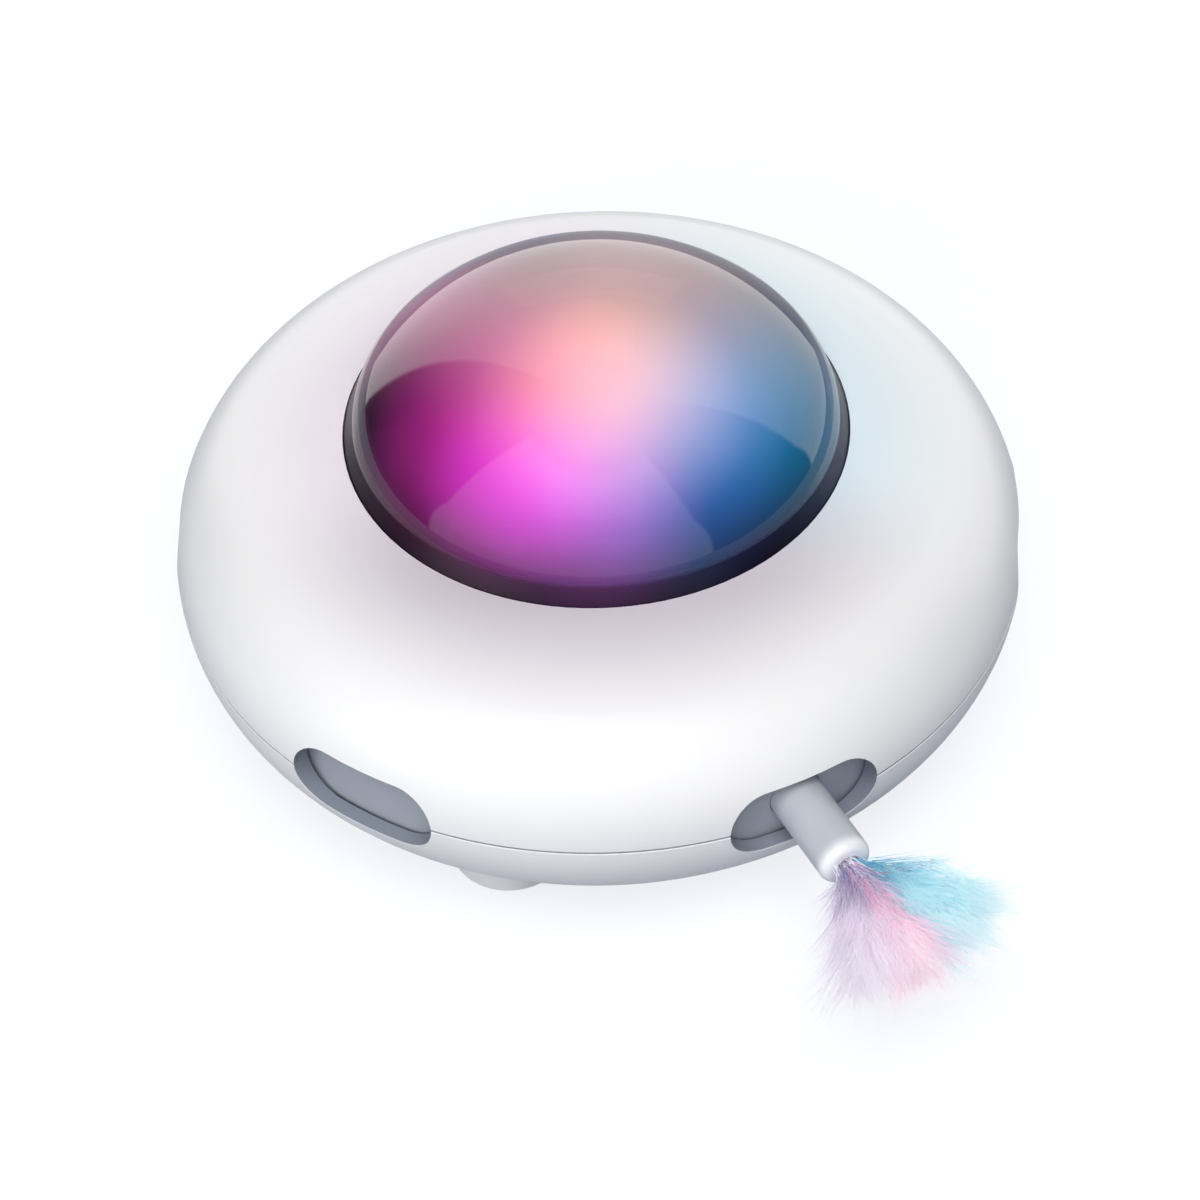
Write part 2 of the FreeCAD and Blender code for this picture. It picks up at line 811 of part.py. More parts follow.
def charging_port(body):
    """The opening in the back of the bowl in front of the charging socket."""
    middle = MAIN_BOARD_TOP + S.socket_height / 2
    height = S.socket_height + 2 * S.port_play
    width = 2 * (S.socket_half_width + S.port_play)
    mouth = obround(body, "port", "XZ_Plane", middle, width, height, -(SOCKET_MOUTH - S.socket_length))
    pocket(body, mouth, S.body_radius)


def button_hole(body):
    """The round hole in the base for the power button, and three screw holes for the column."""
    reach = S.button_radius + S.button_play
    hole = circle(body, "button_hole", "XY_Plane", 0, BUTTON_PLACE, reach, S.base_height)
    pocket(body, hole, S.shell_wall, along=True)
    screw = circle(
        body,
        "column_screw_hole",
        "XY_Plane",
        COLUMN_SCREW_CIRCLE,
        0,
        S.screw_radius + S.screw_play,
        S.base_height,
    )
    sunk = circle(
        body,
        "column_screw_sink",
        "XY_Plane",
        COLUMN_SCREW_CIRCLE,
        0,
        S.screw_head_radius + S.screw_play,
        S.base_height,
    )
    drilled = pocket(body, screw, S.shell_wall, along=True)
    counterbored = pocket(body, sunk, S.screw_head_height, along=True)
    return around(body, [drilled, counterbored], S.column_screw_count)


def make_foot(number):
    """A soft foot: a puck with a rounded lower edge."""
    body = new_body(f"foot_{number}")
    reach = S.foot_radius
    corners = [
        (0, 0),
        (reach - S.foot_round, 0),
        (reach, S.foot_round),
        (reach, S.foot_height),
        (0, S.foot_height),
    ]
    revolve(body, outline(body, "puck", "XZ_Plane", corners, {1: Arc(S.foot_round)}))
    turn = 360 * size(number) / S.foot_count - 180 / S.foot_count
    return place(body, FOOT_CIRCLE * cosine(turn), FOOT_CIRCLE * sine(turn))


# ---------------------------------------------------------------- dome, lights and laser


def make_smoked_dome():
    """Smoked dome: a tapered base band, a rounded shoulder, a flat-arched cap and a flange below."""
    body = new_body("smoked_dome")
    wall = S.dome_wall
    top = SHOULDER_HEIGHT + S.cap_rise
    flange = SEAT_RADIUS + S.flange_width
    knee_x, knee_y = cap_knee(SHOULDER_RADIUS.value, S.shoulder_radius.value)
    level = SHOULDER_HEIGHT.value
    inner_radius = S.shoulder_radius - wall
    inner_x, inner_y = cap_knee(SHOULDER_RADIUS.value, S.shoulder_radius.value, wall.value)
    corners = [
        (DOME_RADIUS, S.seat_height),
        (SHOULDER_RADIUS, SHOULDER_HEIGHT),
        (Guess(knee_x), Guess(level + knee_y)),
        (0, top),
        (0, top - wall),
        (Guess(inner_x), Guess(level + inner_y)),
        (SHOULDER_RADIUS - wall, Guess(level)),
        (DOME_RADIUS - wall, S.seat_height),
        (DOME_RADIUS - wall, FLANGE_LOW),
        (flange, FLANGE_LOW),
        (flange, FLANGE_TOP),
        (DOME_RADIUS, FLANGE_TOP),
    ]
    arcs = {
        1: Arc(S.shoulder_radius),
        2: Arc(CAP_RADIUS, axial=True),
        4: Arc(None, False, None, 2),
        5: Arc(None, False, None, 1),
    }
    revolve(body, outline(body, "skin", "XZ_Plane", corners, arcs))
    return body


def cap_knee(reach, small, wall=0.0):
    """Where the dome's shoulder arc meets its cap arc, outside or one wall further in."""
    big = CAP_RADIUS.value
    centre_y = S.cap_rise.value - big
    span = math.hypot(reach, centre_y)
    gap = big - small
    along = (gap * gap - small * small + span * span) / (2 * span)
    aside = math.sqrt(gap * gap - along * along)
    unit_x = reach / span
    unit_y = -centre_y / span
    small_x = along * unit_x - aside * unit_y
    small_y = centre_y + along * unit_y + aside * unit_x
    scale = (big - wall) / gap
    return small_x * scale, centre_y + (small_y - centre_y) * scale


def make_light_tray():
    """Tray that closes the drum chamber, clamps the dome's flange and carries the lights."""
    body = new_body("light_tray")
    board_edge = LIGHT_BOARD_RADIUS
    clamp_outer = SEAT_RADIUS + S.flange_width - S.dome_gap
    clamp_inner = clamp_outer - S.clamp_width
    clamp_top = FLANGE_LOW - S.clamp_play
    corners = [
        (S.column_bore, S.tray_low),
        (TRAY_RADIUS, S.tray_low),
        (TRAY_RADIUS, TRAY_TOP),
        (clamp_outer, TRAY_TOP),
        (clamp_outer, clamp_top),
        (clamp_inner, clamp_top),
        (clamp_inner, TRAY_TOP),
        (board_edge, TRAY_TOP),
        (board_edge, LIGHT_BOARD_LOW),
        (board_edge - S.rib_width, LIGHT_BOARD_LOW),
        (board_edge - S.rib_width, TRAY_TOP),
        (S.light_board_bore + S.rib_width, TRAY_TOP),
        (S.light_board_bore + S.rib_width, LIGHT_BOARD_LOW),
        (S.light_board_bore, LIGHT_BOARD_LOW),
        (S.light_board_bore, TRAY_TOP),
        (S.column_bore, TRAY_TOP),
    ]
    revolve(body, outline(body, "tray", "XZ_Plane", corners))
    clear = S.screw_radius + S.screw_play
    hole = circle(body, "screw_hole", "XY_Plane", TRAY_SCREW_CIRCLE, 0, clear, S.tray_low)
    around(body, [pocket(body, hole, S.tray_thickness, along=True)], S.tray_screw_count)
    return body


def make_light_board():
    """Ring-shaped circuit board under the dome."""
    body = new_body("light_board")
    ring = rectangle(
        body,
        "ring",
        "XZ_Plane",
        S.light_board_bore,
        LIGHT_BOARD_RADIUS,
        LIGHT_BOARD_LOW,
        LIGHT_BOARD_TOP,
    )
    revolve(body, ring)
    return body


def make_leds():
    """Coloured lamps in a circle on the light board."""
    body = new_body("leds")
    half = S.led_width / 2
    lamp = rectangle(
        body, "lamp", "XY_Plane", LED_CIRCLE - half, LED_CIRCLE + half, -half, half, LIGHT_BOARD_TOP
    )
    around(body, [pad(body, lamp, S.led_height)], S.led_count)
    return body


def make_diffuser():
    """Milky inner cap over the lamps, with a hole in its crown for the laser shaft."""
    body = new_body("light_diffuser")
    wall = S.diffuser_wall
    rise = S.diffuser_rise
    reach = DIFFUSER_RADIUS
    radius = (reach * reach + rise * rise) / (2 * rise)
    top = LIGHT_BOARD_TOP + rise
    hole = S.diffuser_hole
    below = top.value - radius.value
    hole_outer = below + math.sqrt(radius.value**2 - hole.value**2)
    hole_inner = below + math.sqrt((radius.value - wall.value) ** 2 - hole.value**2)
    thin = radius.value - wall.value
    foot_inner = math.sqrt(thin**2 - (LIGHT_BOARD_TOP.value - below) ** 2)
    corners = [
        (reach, LIGHT_BOARD_TOP),
        (hole, Guess(hole_outer)),
        (hole, Guess(hole_inner)),
        (Guess(foot_inner), LIGHT_BOARD_TOP),
    ]
    arcs = {0: Arc(radius, axial=True), 2: Arc(radius - wall, False, like=0)}
    revolve(body, outline(body, "cap", "XZ_Plane", corners, arcs))
    return body


def make_laser_motor():
    """Small can motor on the tray that turns the laser head."""
    body = new_body("laser_motor")
    bore = S.laser_shaft_radius + S.bearing_play
    top = TRAY_TOP + S.laser_motor_height
    corners = [
        (S.column_bore, TRAY_TOP),
        (S.laser_motor_radius, TRAY_TOP),
        (S.laser_motor_radius, top),
        (bore, top),
        (bore, TRAY_TOP + S.laser_motor_height / 2),
        (S.column_bore, TRAY_TOP + S.laser_motor_height / 2),
    ]
    revolve(body, outline(body, "can", "XZ_Plane", corners))
    return body


def make_laser_turret():
    """Turning head above the diffuser, on a long shaft, with a tilted bore for the laser."""
    body = new_body("laser_turret")
    shaft = S.laser_shaft_radius
    shaft_low = TRAY_TOP + S.laser_motor_height / 2 + S.axial_play
    top = S.turret_low + S.turret_height
    corners = [
        (0, shaft_low),
        (shaft, shaft_low),
        (shaft, S.turret_low),
        (S.turret_radius, S.turret_low),
        (S.turret_radius, top - S.turret_round),
        (S.turret_radius - S.turret_round, top),
        (0, top),
    ]
    revolve(body, outline(body, "head", "XZ_Plane", corners, {4: Arc(S.turret_round)}))
    bore = new_sketch(body, "laser_bore", "XZ_Plane")
    bore.AttachmentOffset = FreeCAD.Placement(
        FreeCAD.Vector(), FreeCAD.Rotation(FreeCAD.Vector(1, 0, 0), S.laser_tilt.value)
    )
    bore.setExpression("AttachmentOffset.Base.y", (S.turret_low + S.turret_height / 2).text)
    bore.setExpression("AttachmentOffset.Rotation.Angle", S.laser_tilt.text)
    reach = S.laser_module_radius + S.grip_play
    bore.addGeometry(Part.Circle(FreeCAD.Vector(), FreeCAD.Vector(0, 0, 1), reach.value), False)
    tie(bore, "DistanceX", 0, 3, 0)
    tie(bore, "DistanceY", 0, 3, 0)
    tie_radius(bore, 0, reach)
    pocket(body, bore, 2 * S.turret_radius, along=True)
    return body


def laser_barrel(label, radius, start, length):
    """A short cylinder along the tilted beam line, starting some way out from the head's centre."""
    item = DOC.addObject("Part::Cylinder", label)
    item.Label = label
    bind(item, Radius=radius, Height=length)
    tilt = 90 + S.laser_tilt
    lift = S.turret_low + S.turret_height / 2
    item.Placement = FreeCAD.Placement(
        FreeCAD.Vector(), FreeCAD.Rotation(FreeCAD.Vector(1, 0, 0), tilt.value)
    )
    item.setExpression("Placement.Rotation.Angle", tilt.text)
    item.setExpression("Placement.Base.y", (-(start * cosine(S.laser_tilt))).text)
    item.setExpression("Placement.Base.z", (lift - start * sine(S.laser_tilt)).text)
    return item


def make_laser_module():
    """Brass laser barrel in the turret's bore, with its lens in front."""
    seat = S.grip_play
    barrel = laser_barrel("laser_module", S.laser_module_radius, seat, S.laser_module_length)
    face = seat + S.laser_module_length
    lens = laser_barrel("laser_lens", S.laser_lens_radius, face, S.laser_lens_thickness)
    return [barrel, lens]


# ---------------------------------------------------------------- drum, gears and feather rod


def make_column():
    """Hollow centre column: a screwed flange, a neck that carries the drum and a bearing shaft."""
    body = new_body("center_column")
    neck_top = S.drum_low - S.axial_play
    corners = [
        (S.column_bore, FLOOR_INSIDE),
        (S.column_flange_radius, FLOOR_INSIDE),
        (S.column_flange_radius, FLOOR_INSIDE + S.column_flange_thickness),
        (S.neck_radius, FLOOR_INSIDE + S.column_flange_thickness),
        (S.neck_radius, neck_top),
        (S.column_radius, neck_top),
        (S.column_radius, S.tray_low),
        (S.column_bore, S.tray_low),
    ]
    revolve(body, outline(body, "column", "XZ_Plane", corners))
    hole = circle(
        body, "screw_hole", "XY_Plane", COLUMN_SCREW_CIRCLE, 0, S.screw_radius, FLOOR_INSIDE
    )
    drilled = pocket(body, hole, S.column_flange_thickness, along=True)
    around(body, [drilled], S.column_screw_count)
    return body


def make_drum():
    """Turning drum: a smooth outer wall behind the slots, a floor, a bearing hub and rod guides."""
    body = new_body("rotor_drum")
    bore = S.column_radius + S.bearing_play
    inner = DRUM_RADIUS - S.drum_wall
    corners = [
        (bore, S.drum_low),
        (DRUM_RADIUS - S.drum_chamfer, S.drum_low),
        (DRUM_RADIUS, S.drum_low + S.drum_chamfer),
        (DRUM_RADIUS, S.drum_high),
        (inner, S.drum_high),
        (inner, DRUM_FLOOR_TOP),
        (S.hub_radius, DRUM_FLOOR_TOP),
        (S.hub_radius, DRUM_FLOOR_TOP + S.hub_rise),
        (bore, DRUM_FLOOR_TOP + S.hub_rise),
    ]
    revolve(body, outline(body, "drum", "XZ_Plane", corners))
    guide_near = S.carriage_half_width + S.guide_play
    guide_far = -(CARRIAGE_OUTER + S.guide_play)
    guide_end = -(S.hub_radius + S.guide_play)
    for name, left, right in (
        ("left_guide", -(guide_near + S.guide_wall), -guide_near),
        ("right_guide", guide_near, guide_near + S.guide_wall),
    ):
        wall = rectangle(body, name, "XY_Plane", left, right, guide_far, guide_end, DRUM_FLOOR_TOP)
        pad(body, wall, S.guide_height)
    saddle_low = S.rod_gear_height - S.rod_motor_height / 2
    saddle_right = S.rod_motor_near + S.rod_motor_length
    half = S.rod_motor_width / 2 + S.guide_play
    saddle = rectangle(
        body,
        "saddle",
        "XY_Plane",
        S.rod_motor_near,
        saddle_right,
        -(ROD_GEAR_PLACE + half + S.saddle_wall),
        -(ROD_GEAR_PLACE - half - S.saddle_wall),
        DRUM_FLOOR_TOP,
    )
    pad(body, saddle, S.saddle_height)
    trough = rectangle(
        body,
        "trough",
        "XY_Plane",
        S.rod_motor_near,
        saddle_right,
        -(ROD_GEAR_PLACE + half),
        -(ROD_GEAR_PLACE - half),
        saddle_low,
    )
    pocket(body, trough, S.saddle_height, along=True)
    exit_hole = circle(body, "rod_hole", "XZ_Plane", 0, S.seam_height, S.rod_radius + S.rod_play)
    pocket(body, exit_hole, DRUM_RADIUS + S.drum_gap, along=True)
    wires = circle(
        body,
        "wire_hole",
        "XY_Plane",
        (S.slip_track_inner + S.slip_track_outer) / 2,
        0,
        S.slip_track_width / 3,
        S.drum_low,
    )
    pocket(body, wires, S.drum_floor, along=True)
    return body


def involute(angle):
    """The involute of a pressure angle in radians."""
    return math.tan(angle) - angle


def half_tooth(teeth, module, radius, backlash):
    """Half the angle that a tooth of an involute gear fills at one radius, in radians."""
    pitch = module * teeth / 2
    pressure = math.radians(PRESSURE_ANGLE)
    base = pitch * math.cos(pressure)
    here = math.acos(min(base / radius, 1.0))
    play = backlash / (2 * pitch)
    return math.pi / (2 * teeth) - play + involute(pressure) - involute(here)


def gear_wire(teeth, module, root, tip, backlash, steps):
    """The outline of an involute gear whose flanks are short straight steps."""
    points = []
    for tooth in range(teeth):
        middle = 2 * math.pi * tooth / teeth
        radii = [root + (tip - root) * step / steps for step in range(steps + 1)]
        halves = [half_tooth(teeth, module, radius, backlash) for radius in radii]
        rising = [(radius, middle - half) for radius, half in zip(radii, halves)]
        falling = [(radius, middle + half) for radius, half in zip(radii, halves)]
        for radius, angle in rising + falling[::-1]:
            points.append(FreeCAD.Vector(radius * math.cos(angle), radius * math.sin(angle), 0))
    return Part.makePolygon(points + points[:1])


def pinion_wire(teeth, module, pitch, backlash):
    """The outline of a pinion with stub teeth."""
    root = pitch - GEAR_DEDENDUM * module
    tip = pitch + GEAR_ADDENDUM * module
    return gear_wire(teeth, module, root, tip, backlash, FLANK_STEPS)


def make_ring_gear():
    """Internal gear under the drum floor that the drive pinion turns."""
    teeth = int(S.ring_teeth.value)
    module = S.ring_module.value
    pitch = RING_PITCH.value
    tip = pitch - GEAR_ADDENDUM * module
    root = pitch + GEAR_DEDENDUM * module
    spaces = gear_wire(teeth, module, tip, root, 0.0, 1)
    rim = root + S.ring_rim.value
    outer = Part.Wire(Part.Circle(FreeCAD.Vector(), UP, rim).toShape())
    ring = Part.Face(outer).cut(Part.Face(spaces)).extrude(UP * S.ring_height.value)
    item = shapes_node("ring_gear", ring)
    return place(item, z=RING_LOW)


def make_drive_pinion():
    """Pinion of the turntable drive with its shaft down into the gear motor."""
    teeth = int(S.drive_teeth.value)
    module = S.ring_module.value
    pitch = DRIVE_PITCH.value
    backlash = S.gear_backlash.value
    wire = pinion_wire(teeth, module, pitch, backlash)
    width = S.ring_height.value - S.pinion_play.value
    gear = Part.Face(wire).extrude(UP * width)
    drop = RING_LOW.value - DRIVE_MOTOR_TOP.value + S.drive_motor_height.value / 2
    shaft = Part.makeCylinder(S.drive_shaft_radius.value, drop, FreeCAD.Vector(), DOWN)
    item = shapes_node("drive_pinion", gear.fuse(shaft).removeSplitter())
    return place(item, x=-DRIVE_PLACE, z=RING_LOW)


def make_drive_motor():
    """Flat gear motor in the base with two screw ears."""
    body = new_body("drive_motor")
    top = S.drive_motor_height
    bore = S.drive_shaft_radius + S.bearing_play
    boss_top = top + S.ear_thickness
    corners = [
        (0, 0),
        (S.drive_motor_radius, 0),
        (S.drive_motor_radius, top),
        (S.drive_motor_boss, top),
        (S.drive_motor_boss, boss_top),
        (0, boss_top),
    ]
    revolve(body, outline(body, "can", "XZ_Plane", corners))
    reach = S.post_radius
    spread = S.ear_spread
    strip = rectangle(
        body,
        "ear_strip",
        "XY_Plane",
        -reach,
        reach,
        -(spread + reach),
        spread + reach,
        top - S.ear_thickness,
    )
    pad(body, strip, S.ear_thickness)
    for number, way in enumerate((1, -1), start=1):
        hole = circle(
            body, f"ear_hole_{number}", "XY_Plane", 0, way * spread, S.screw_radius + S.screw_play, top
        )
        pocket(body, hole, S.ear_thickness)
    shaft_hole = circle(body, "shaft_hole", "XY_Plane", 0, 0, bore, boss_top)
    pocket(body, shaft_hole, boss_top - top / 2 + S.axial_play)
    return place(body, -DRIVE_PLACE, None, FLOOR_INSIDE)


def make_slip_board():
    """Ring-shaped contact board under the drum floor, with two copper tracks."""
    body = new_body("slip_ring_board")
    ring = rectangle(
        body, "ring", "XZ_Plane", S.slip_board_bore, S.slip_board_radius, SLIP_BOARD_LOW, S.drum_low
    )
    revolve(body, ring)
    tracks = []
    inners = {"inner_slip_track": S.slip_track_inner, "outer_slip_track": S.slip_track_outer}
    for label, inner in inners.items():
        track = new_body(label)
        outer = inner + S.slip_track_width
        band = rectangle(track, "band", "XZ_Plane", inner, outer, SLIP_TRACK_LOW, SLIP_BOARD_LOW)
        revolve(track, band)
        tracks.append(track)
    return [body] + tracks


def make_brush_block():
    """Block on the base with two spring brushes that reach up to the slip tracks."""
    body = new_body("brush_block")
    top = SLIP_TRACK_LOW - S.axial_play
    left = S.column_flange_radius + S.axial_play
    right = S.slip_track_outer + S.slip_track_width
    half = S.brush_width / 2
    block_top = top - S.brush_height
    base = rectangle(body, "block", "XY_Plane", left, right, -half, half, FLOOR_INSIDE)
    pad(body, base, block_top - FLOOR_INSIDE)
    for name, inner in (("inner_brush", S.slip_track_inner), ("outer_brush", S.slip_track_outer)):
        spot = inner + S.slip_track_width / 2
        brush = circle(body, name, "XY_Plane", spot, 0, S.slip_track_width / 3, block_top)
        pad(body, brush, S.brush_height)
    return body


def make_feather_rod():
    """Round rod that carries the feather, with a rounded end and a socket half its width."""
    body = new_body("feather_rod")
    length = ROD_REACH - CARRIAGE_INNER
    reach = S.rod_radius
    corners = [
        (0, 0),
        (reach, 0),
        (reach, length - S.rod_round),
        (reach - S.rod_round, length),
        (S.socket_radius, length),
        (S.socket_radius, length - S.socket_depth),
        (0, length - S.socket_depth),
    ]
    revolve(body, outline(body, "rod", "XZ_Plane", corners, {2: Arc(S.rod_round)}))
    place(body, None, -CARRIAGE_INNER, S.seam_height, 90, FreeCAD.Vector(1, 0, 0))
    return body


def make_carriage():
    """Sliding block that grips the rod, with a toothed rack that passes beside the column."""
    body = new_body("rod_carriage")
    half = S.carriage_half_width
    top = S.seam_height + S.carriage_rise
    rack_right = S.rack_near + S.rack_width
    tip = RACK_PITCH_HEIGHT - S.rack_addendum
    root = RACK_PITCH_HEIGHT + S.rack_module
    corners = [
        (-half, DRUM_FLOOR_TOP + S.axial_play),
        (half, DRUM_FLOOR_TOP + S.axial_play),
        (half, root),
        (rack_right, root),
        (rack_right, top),
        (-half, top),
    ]
    pad(body, outline(body, "block", "XZ_Plane", corners, offset=CARRIAGE_INNER), S.carriage_length)
    grip = S.rod_radius + S.grip_play
    bore = circle(body, "rod_bore", "XZ_Plane", 0, S.seam_height, grip, CARRIAGE_INNER)
    pocket(body, bore, S.carriage_length, along=True)
    bar = rectangle(
        body, "rack_bar", "XZ_Plane", S.rack_near, rack_right, tip, root + S.rack_back, RACK_INNER
    )
    pad(body, bar, CARRIAGE_OUTER - RACK_INNER)
    slope = math.tan(math.radians(PRESSURE_ANGLE))
    half_space = RACK_PITCH / 4 + S.rack_backlash / 4
    low_half = half_space + slope * S.rack_addendum
    high_half = half_space - slope * S.rack_module
    first = RACK_PITCH - ROD_GEAR_PLACE
    space_corners = [
        (first - low_half, tip),
        (first + low_half, tip),
        (first + high_half, root),
        (first - high_half, root),
    ]
    space = outline(body, "tooth_space", "YZ_Plane", space_corners, offset=S.rack_near)
    cut = pocket(body, space, S.rack_width, along=True)
    teeth = body.newObject("PartDesign::LinearPattern", "teeth")
    teeth.Originals = [cut]
    teeth.Direction = (origin_feature(body, "Y_Axis"), [""])
    teeth.Reversed = True
    teeth.Mode = "Spacing"
    bind(teeth, Offset=RACK_PITCH)
    teeth.Occurrences = int((CARRIAGE_OUTER - ROD_GEAR_PLACE).value / RACK_PITCH.value) + 2
    body.Tip = teeth
    return body


def make_rod_pinion():
    """Small pinion under the rack with its shaft into the rod motor."""
    teeth = int(S.rod_pinion_teeth.value)
    module = S.rack_module.value
    pitch = ROD_PITCH.value
    backlash = S.rack_backlash.value / 2
    wire = pinion_wire(teeth, module, pitch, backlash)
    gear = Part.Face(wire).extrude(UP * S.rod_gear_width.value)
    reach = S.rod_motor_near - S.rack_near + S.rod_gear_width
    shaft = Part.makeCylinder(S.rod_shaft_radius.value, reach.value)
    item = shapes_node("rod_pinion", gear.fuse(shaft).removeSplitter())
    place(item, angle=90, axis=FreeCAD.Vector(0, 1, 0))
    near = S.rack_near + (S.rack_width - S.rod_gear_width) / 2
    return place(item, near, -ROD_GEAR_PLACE, S.rod_gear_height)


def make_rod_motor():
    """Slim gear motor in the drum: a square gearbox, a flat-sided can and a shaft bore."""
    body = new_body("rod_motor")
    half_width = S.rod_motor_width / 2
    half_height = S.rod_motor_height / 2
    box = rectangle(body, "gearbox", "YZ_Plane", -half_width, half_width, -half_height, half_height)
    pad(body, box, S.rod_motor_gearbox)
    can = obround(body, "can", "YZ_Plane", 0, S.rod_motor_width, S.rod_motor_height)
    pad(body, can, S.rod_motor_length)
    bore = circle(body, "bore", "YZ_Plane", 0, 0, S.rod_shaft_radius + S.bearing_play)
    pocket(body, bore, S.rod_motor_gearbox, along=True)
    return place(body, S.rod_motor_near, -ROD_GEAR_PLACE, S.rod_gear_height)


def make_feather():
    """Soft plume on a quill: a flattened tuft that widens and closes again to a blunt end."""
    start = -(ROD_REACH - S.socket_depth + S.axial_play).value
    tip = -ROD_REACH.value
    quill = S.quill_radius.value
    length = S.plume_length.value
    wide = S.plume_half_width.value
    high = S.plume_half_height.value
    flat_quill = quill * QUILL_FLATNESS
    wires = [plume_ring(start, quill, flat_quill), plume_ring(tip, quill, flat_quill)]
    for along, wide_share, high_share in PLUME_STATIONS:
        wires.append(plume_ring(tip - along * length, wide_share * wide, high_share * high))
    return shapes_node("feather", Part.makeLoft(wires, True, True))


def plume_ring(y, half_wide, half_high):
    """An upright ellipse across the plume, wider than it is high."""
    centre = FreeCAD.Vector(0, y, S.seam_height.value)
    across = centre + FreeCAD.Vector(half_wide, 0, 0)
    upward = centre + UP * half_high
    return Part.Wire(Part.Ellipse(across, upward, centre).toShape())


# ---------------------------------------------------------------- electronics, button and screws


def make_main_board():
    """Main board at the back, with a tongue that carries the charging socket."""
    body = new_body("main_board")
    half = S.main_board_half_width
    tongue = S.tongue_half_width
    corners = [
        (-half, MAIN_BOARD_NEAR),
        (half, MAIN_BOARD_NEAR),
        (half, MAIN_BOARD_FAR),
        (tongue, MAIN_BOARD_FAR),
        (tongue, MAIN_BOARD_END),
        (-tongue, MAIN_BOARD_END),
        (-tongue, MAIN_BOARD_FAR),
        (-half, MAIN_BOARD_FAR),
    ]
    board = outline(body, "board", "XY_Plane", corners, offset=S.main_board_height)
    pad(body, board, S.board_thickness)
    for number, (x, y) in enumerate(board_screw_places(), start=1):
        clear = S.screw_radius + S.screw_play
        hole = circle(body, f"hole_{number}", "XY_Plane", x, y, clear, MAIN_BOARD_TOP)
        pocket(body, hole, S.board_thickness)
    return body


def make_charge_socket():
    """Charging socket on the board's tongue, facing the back."""
    body = new_body("charge_socket")
    middle = MAIN_BOARD_TOP + S.socket_height / 2
    width = 2 * S.socket_half_width
    shell = obround(body, "shell", "XZ_Plane", middle, width, S.socket_height, -SOCKET_MOUTH)
    pad(body, shell, S.socket_length)
    inner_height = S.socket_height - 2 * S.socket_wall
    cavity = obround(
        body, "cavity", "XZ_Plane", middle, width - 2 * S.socket_wall, inner_height, -SOCKET_MOUTH
    )
    pocket(body, cavity, S.socket_length - S.socket_wall, along=True)
    tongue_half = S.socket_half_width - 3 * S.socket_wall
    tongue_low = middle - S.socket_wall
    tongue_high = middle + S.socket_wall
    tongue = rectangle(
        body,
        "contact_tongue",
        "XZ_Plane",
        -tongue_half,
        tongue_half,
        tongue_low,
        tongue_high,
        -(SOCKET_MOUTH - S.socket_wall),
    )
    pad(body, tongue, S.socket_length - 2 * S.socket_wall)
    return body


def make_battery():
    """Flat rechargeable cell on the base floor."""
    body = new_body("battery")
    half = S.battery_width / 2
    far = BATTERY_NEAR + S.battery_depth
    cell = rectangle(body, "cell", "XY_Plane", -half, half, -far, -BATTERY_NEAR, FLOOR_INSIDE)
    pad(body, cell, S.battery_height)
    return body


def make_button():
    """Power button in the base: a flush cap, a flange that holds it in and a stem to the switch."""
    body = new_body("power_button")
    flange = S.button_radius + S.button_flange
    flange_low = FLOOR_INSIDE + S.axial_play
    stem_top = S.main_board_height - S.switch_height - S.button_travel - S.axial_play / 2
    corners = [
        (0, S.base_height),
        (S.button_radius, S.base_height),
        (S.button_radius, flange_low),
        (flange, flange_low),
        (flange, flange_low + S.button_flange_thickness),
        (S.button_stem_radius, flange_low + S.button_flange_thickness),
        (S.button_stem_radius, stem_top),
        (0, stem_top),
    ]
    revolve(body, outline(body, "cap", "XZ_Plane", corners))
    return place(body, None, BUTTON_PLACE)


def make_switch():
    """Push switch under the main board, above the button's stem."""
    item = DOC.addObject("Part::Box", "power_switch")
    item.Label = "power_switch"
    bind(item, Length=S.switch_width, Width=S.switch_width, Height=S.switch_height)
    low = S.main_board_height - S.switch_height
    return place(item, -(S.switch_width / 2), BUTTON_PLACE - S.switch_width / 2, low)


def board_screw_places():
    """Where the four screws of the main board stand."""
    across = S.main_board_half_width - S.post_inset
    near = MAIN_BOARD_NEAR + S.post_inset
    far = MAIN_BOARD_FAR - S.post_inset
    return [(across, near), (across, far), (-across, near), (-across, far)]


def motor_screw_places():
    """Where the two screws of the drive motor stand."""
    return [(-DRIVE_PLACE, S.ear_spread), (-DRIVE_PLACE, -S.ear_spread)]


def circle_places(radius, count):
    """Equal steps round a circle, starting at +X."""
    steps = int(count.value)
    turns = [360.0 * step / steps for step in range(steps)]
    return [(radius * cosine(turn), radius * sine(turn)) for turn in turns]


def screw_group(label, places, seat, length, head_up):
    """Identical screws at several places, their heads on one level, as one group of solids."""
    shank_radius = (S.screw_radius - S.grip_play).value
    way = UP if head_up else DOWN
    screws = []
    for x, y in places:
        foot = FreeCAD.Vector(x.value, y.value, seat.value)
        head = Part.makeCylinder(S.screw_head_radius.value, S.screw_head_height.value, foot, way)
        shank = Part.makeCylinder(shank_radius, size(length).value, foot, way * -1)
        screws.append(head.fuse(shank).removeSplitter())
    return shapes_node(label, Part.makeCompound(screws))


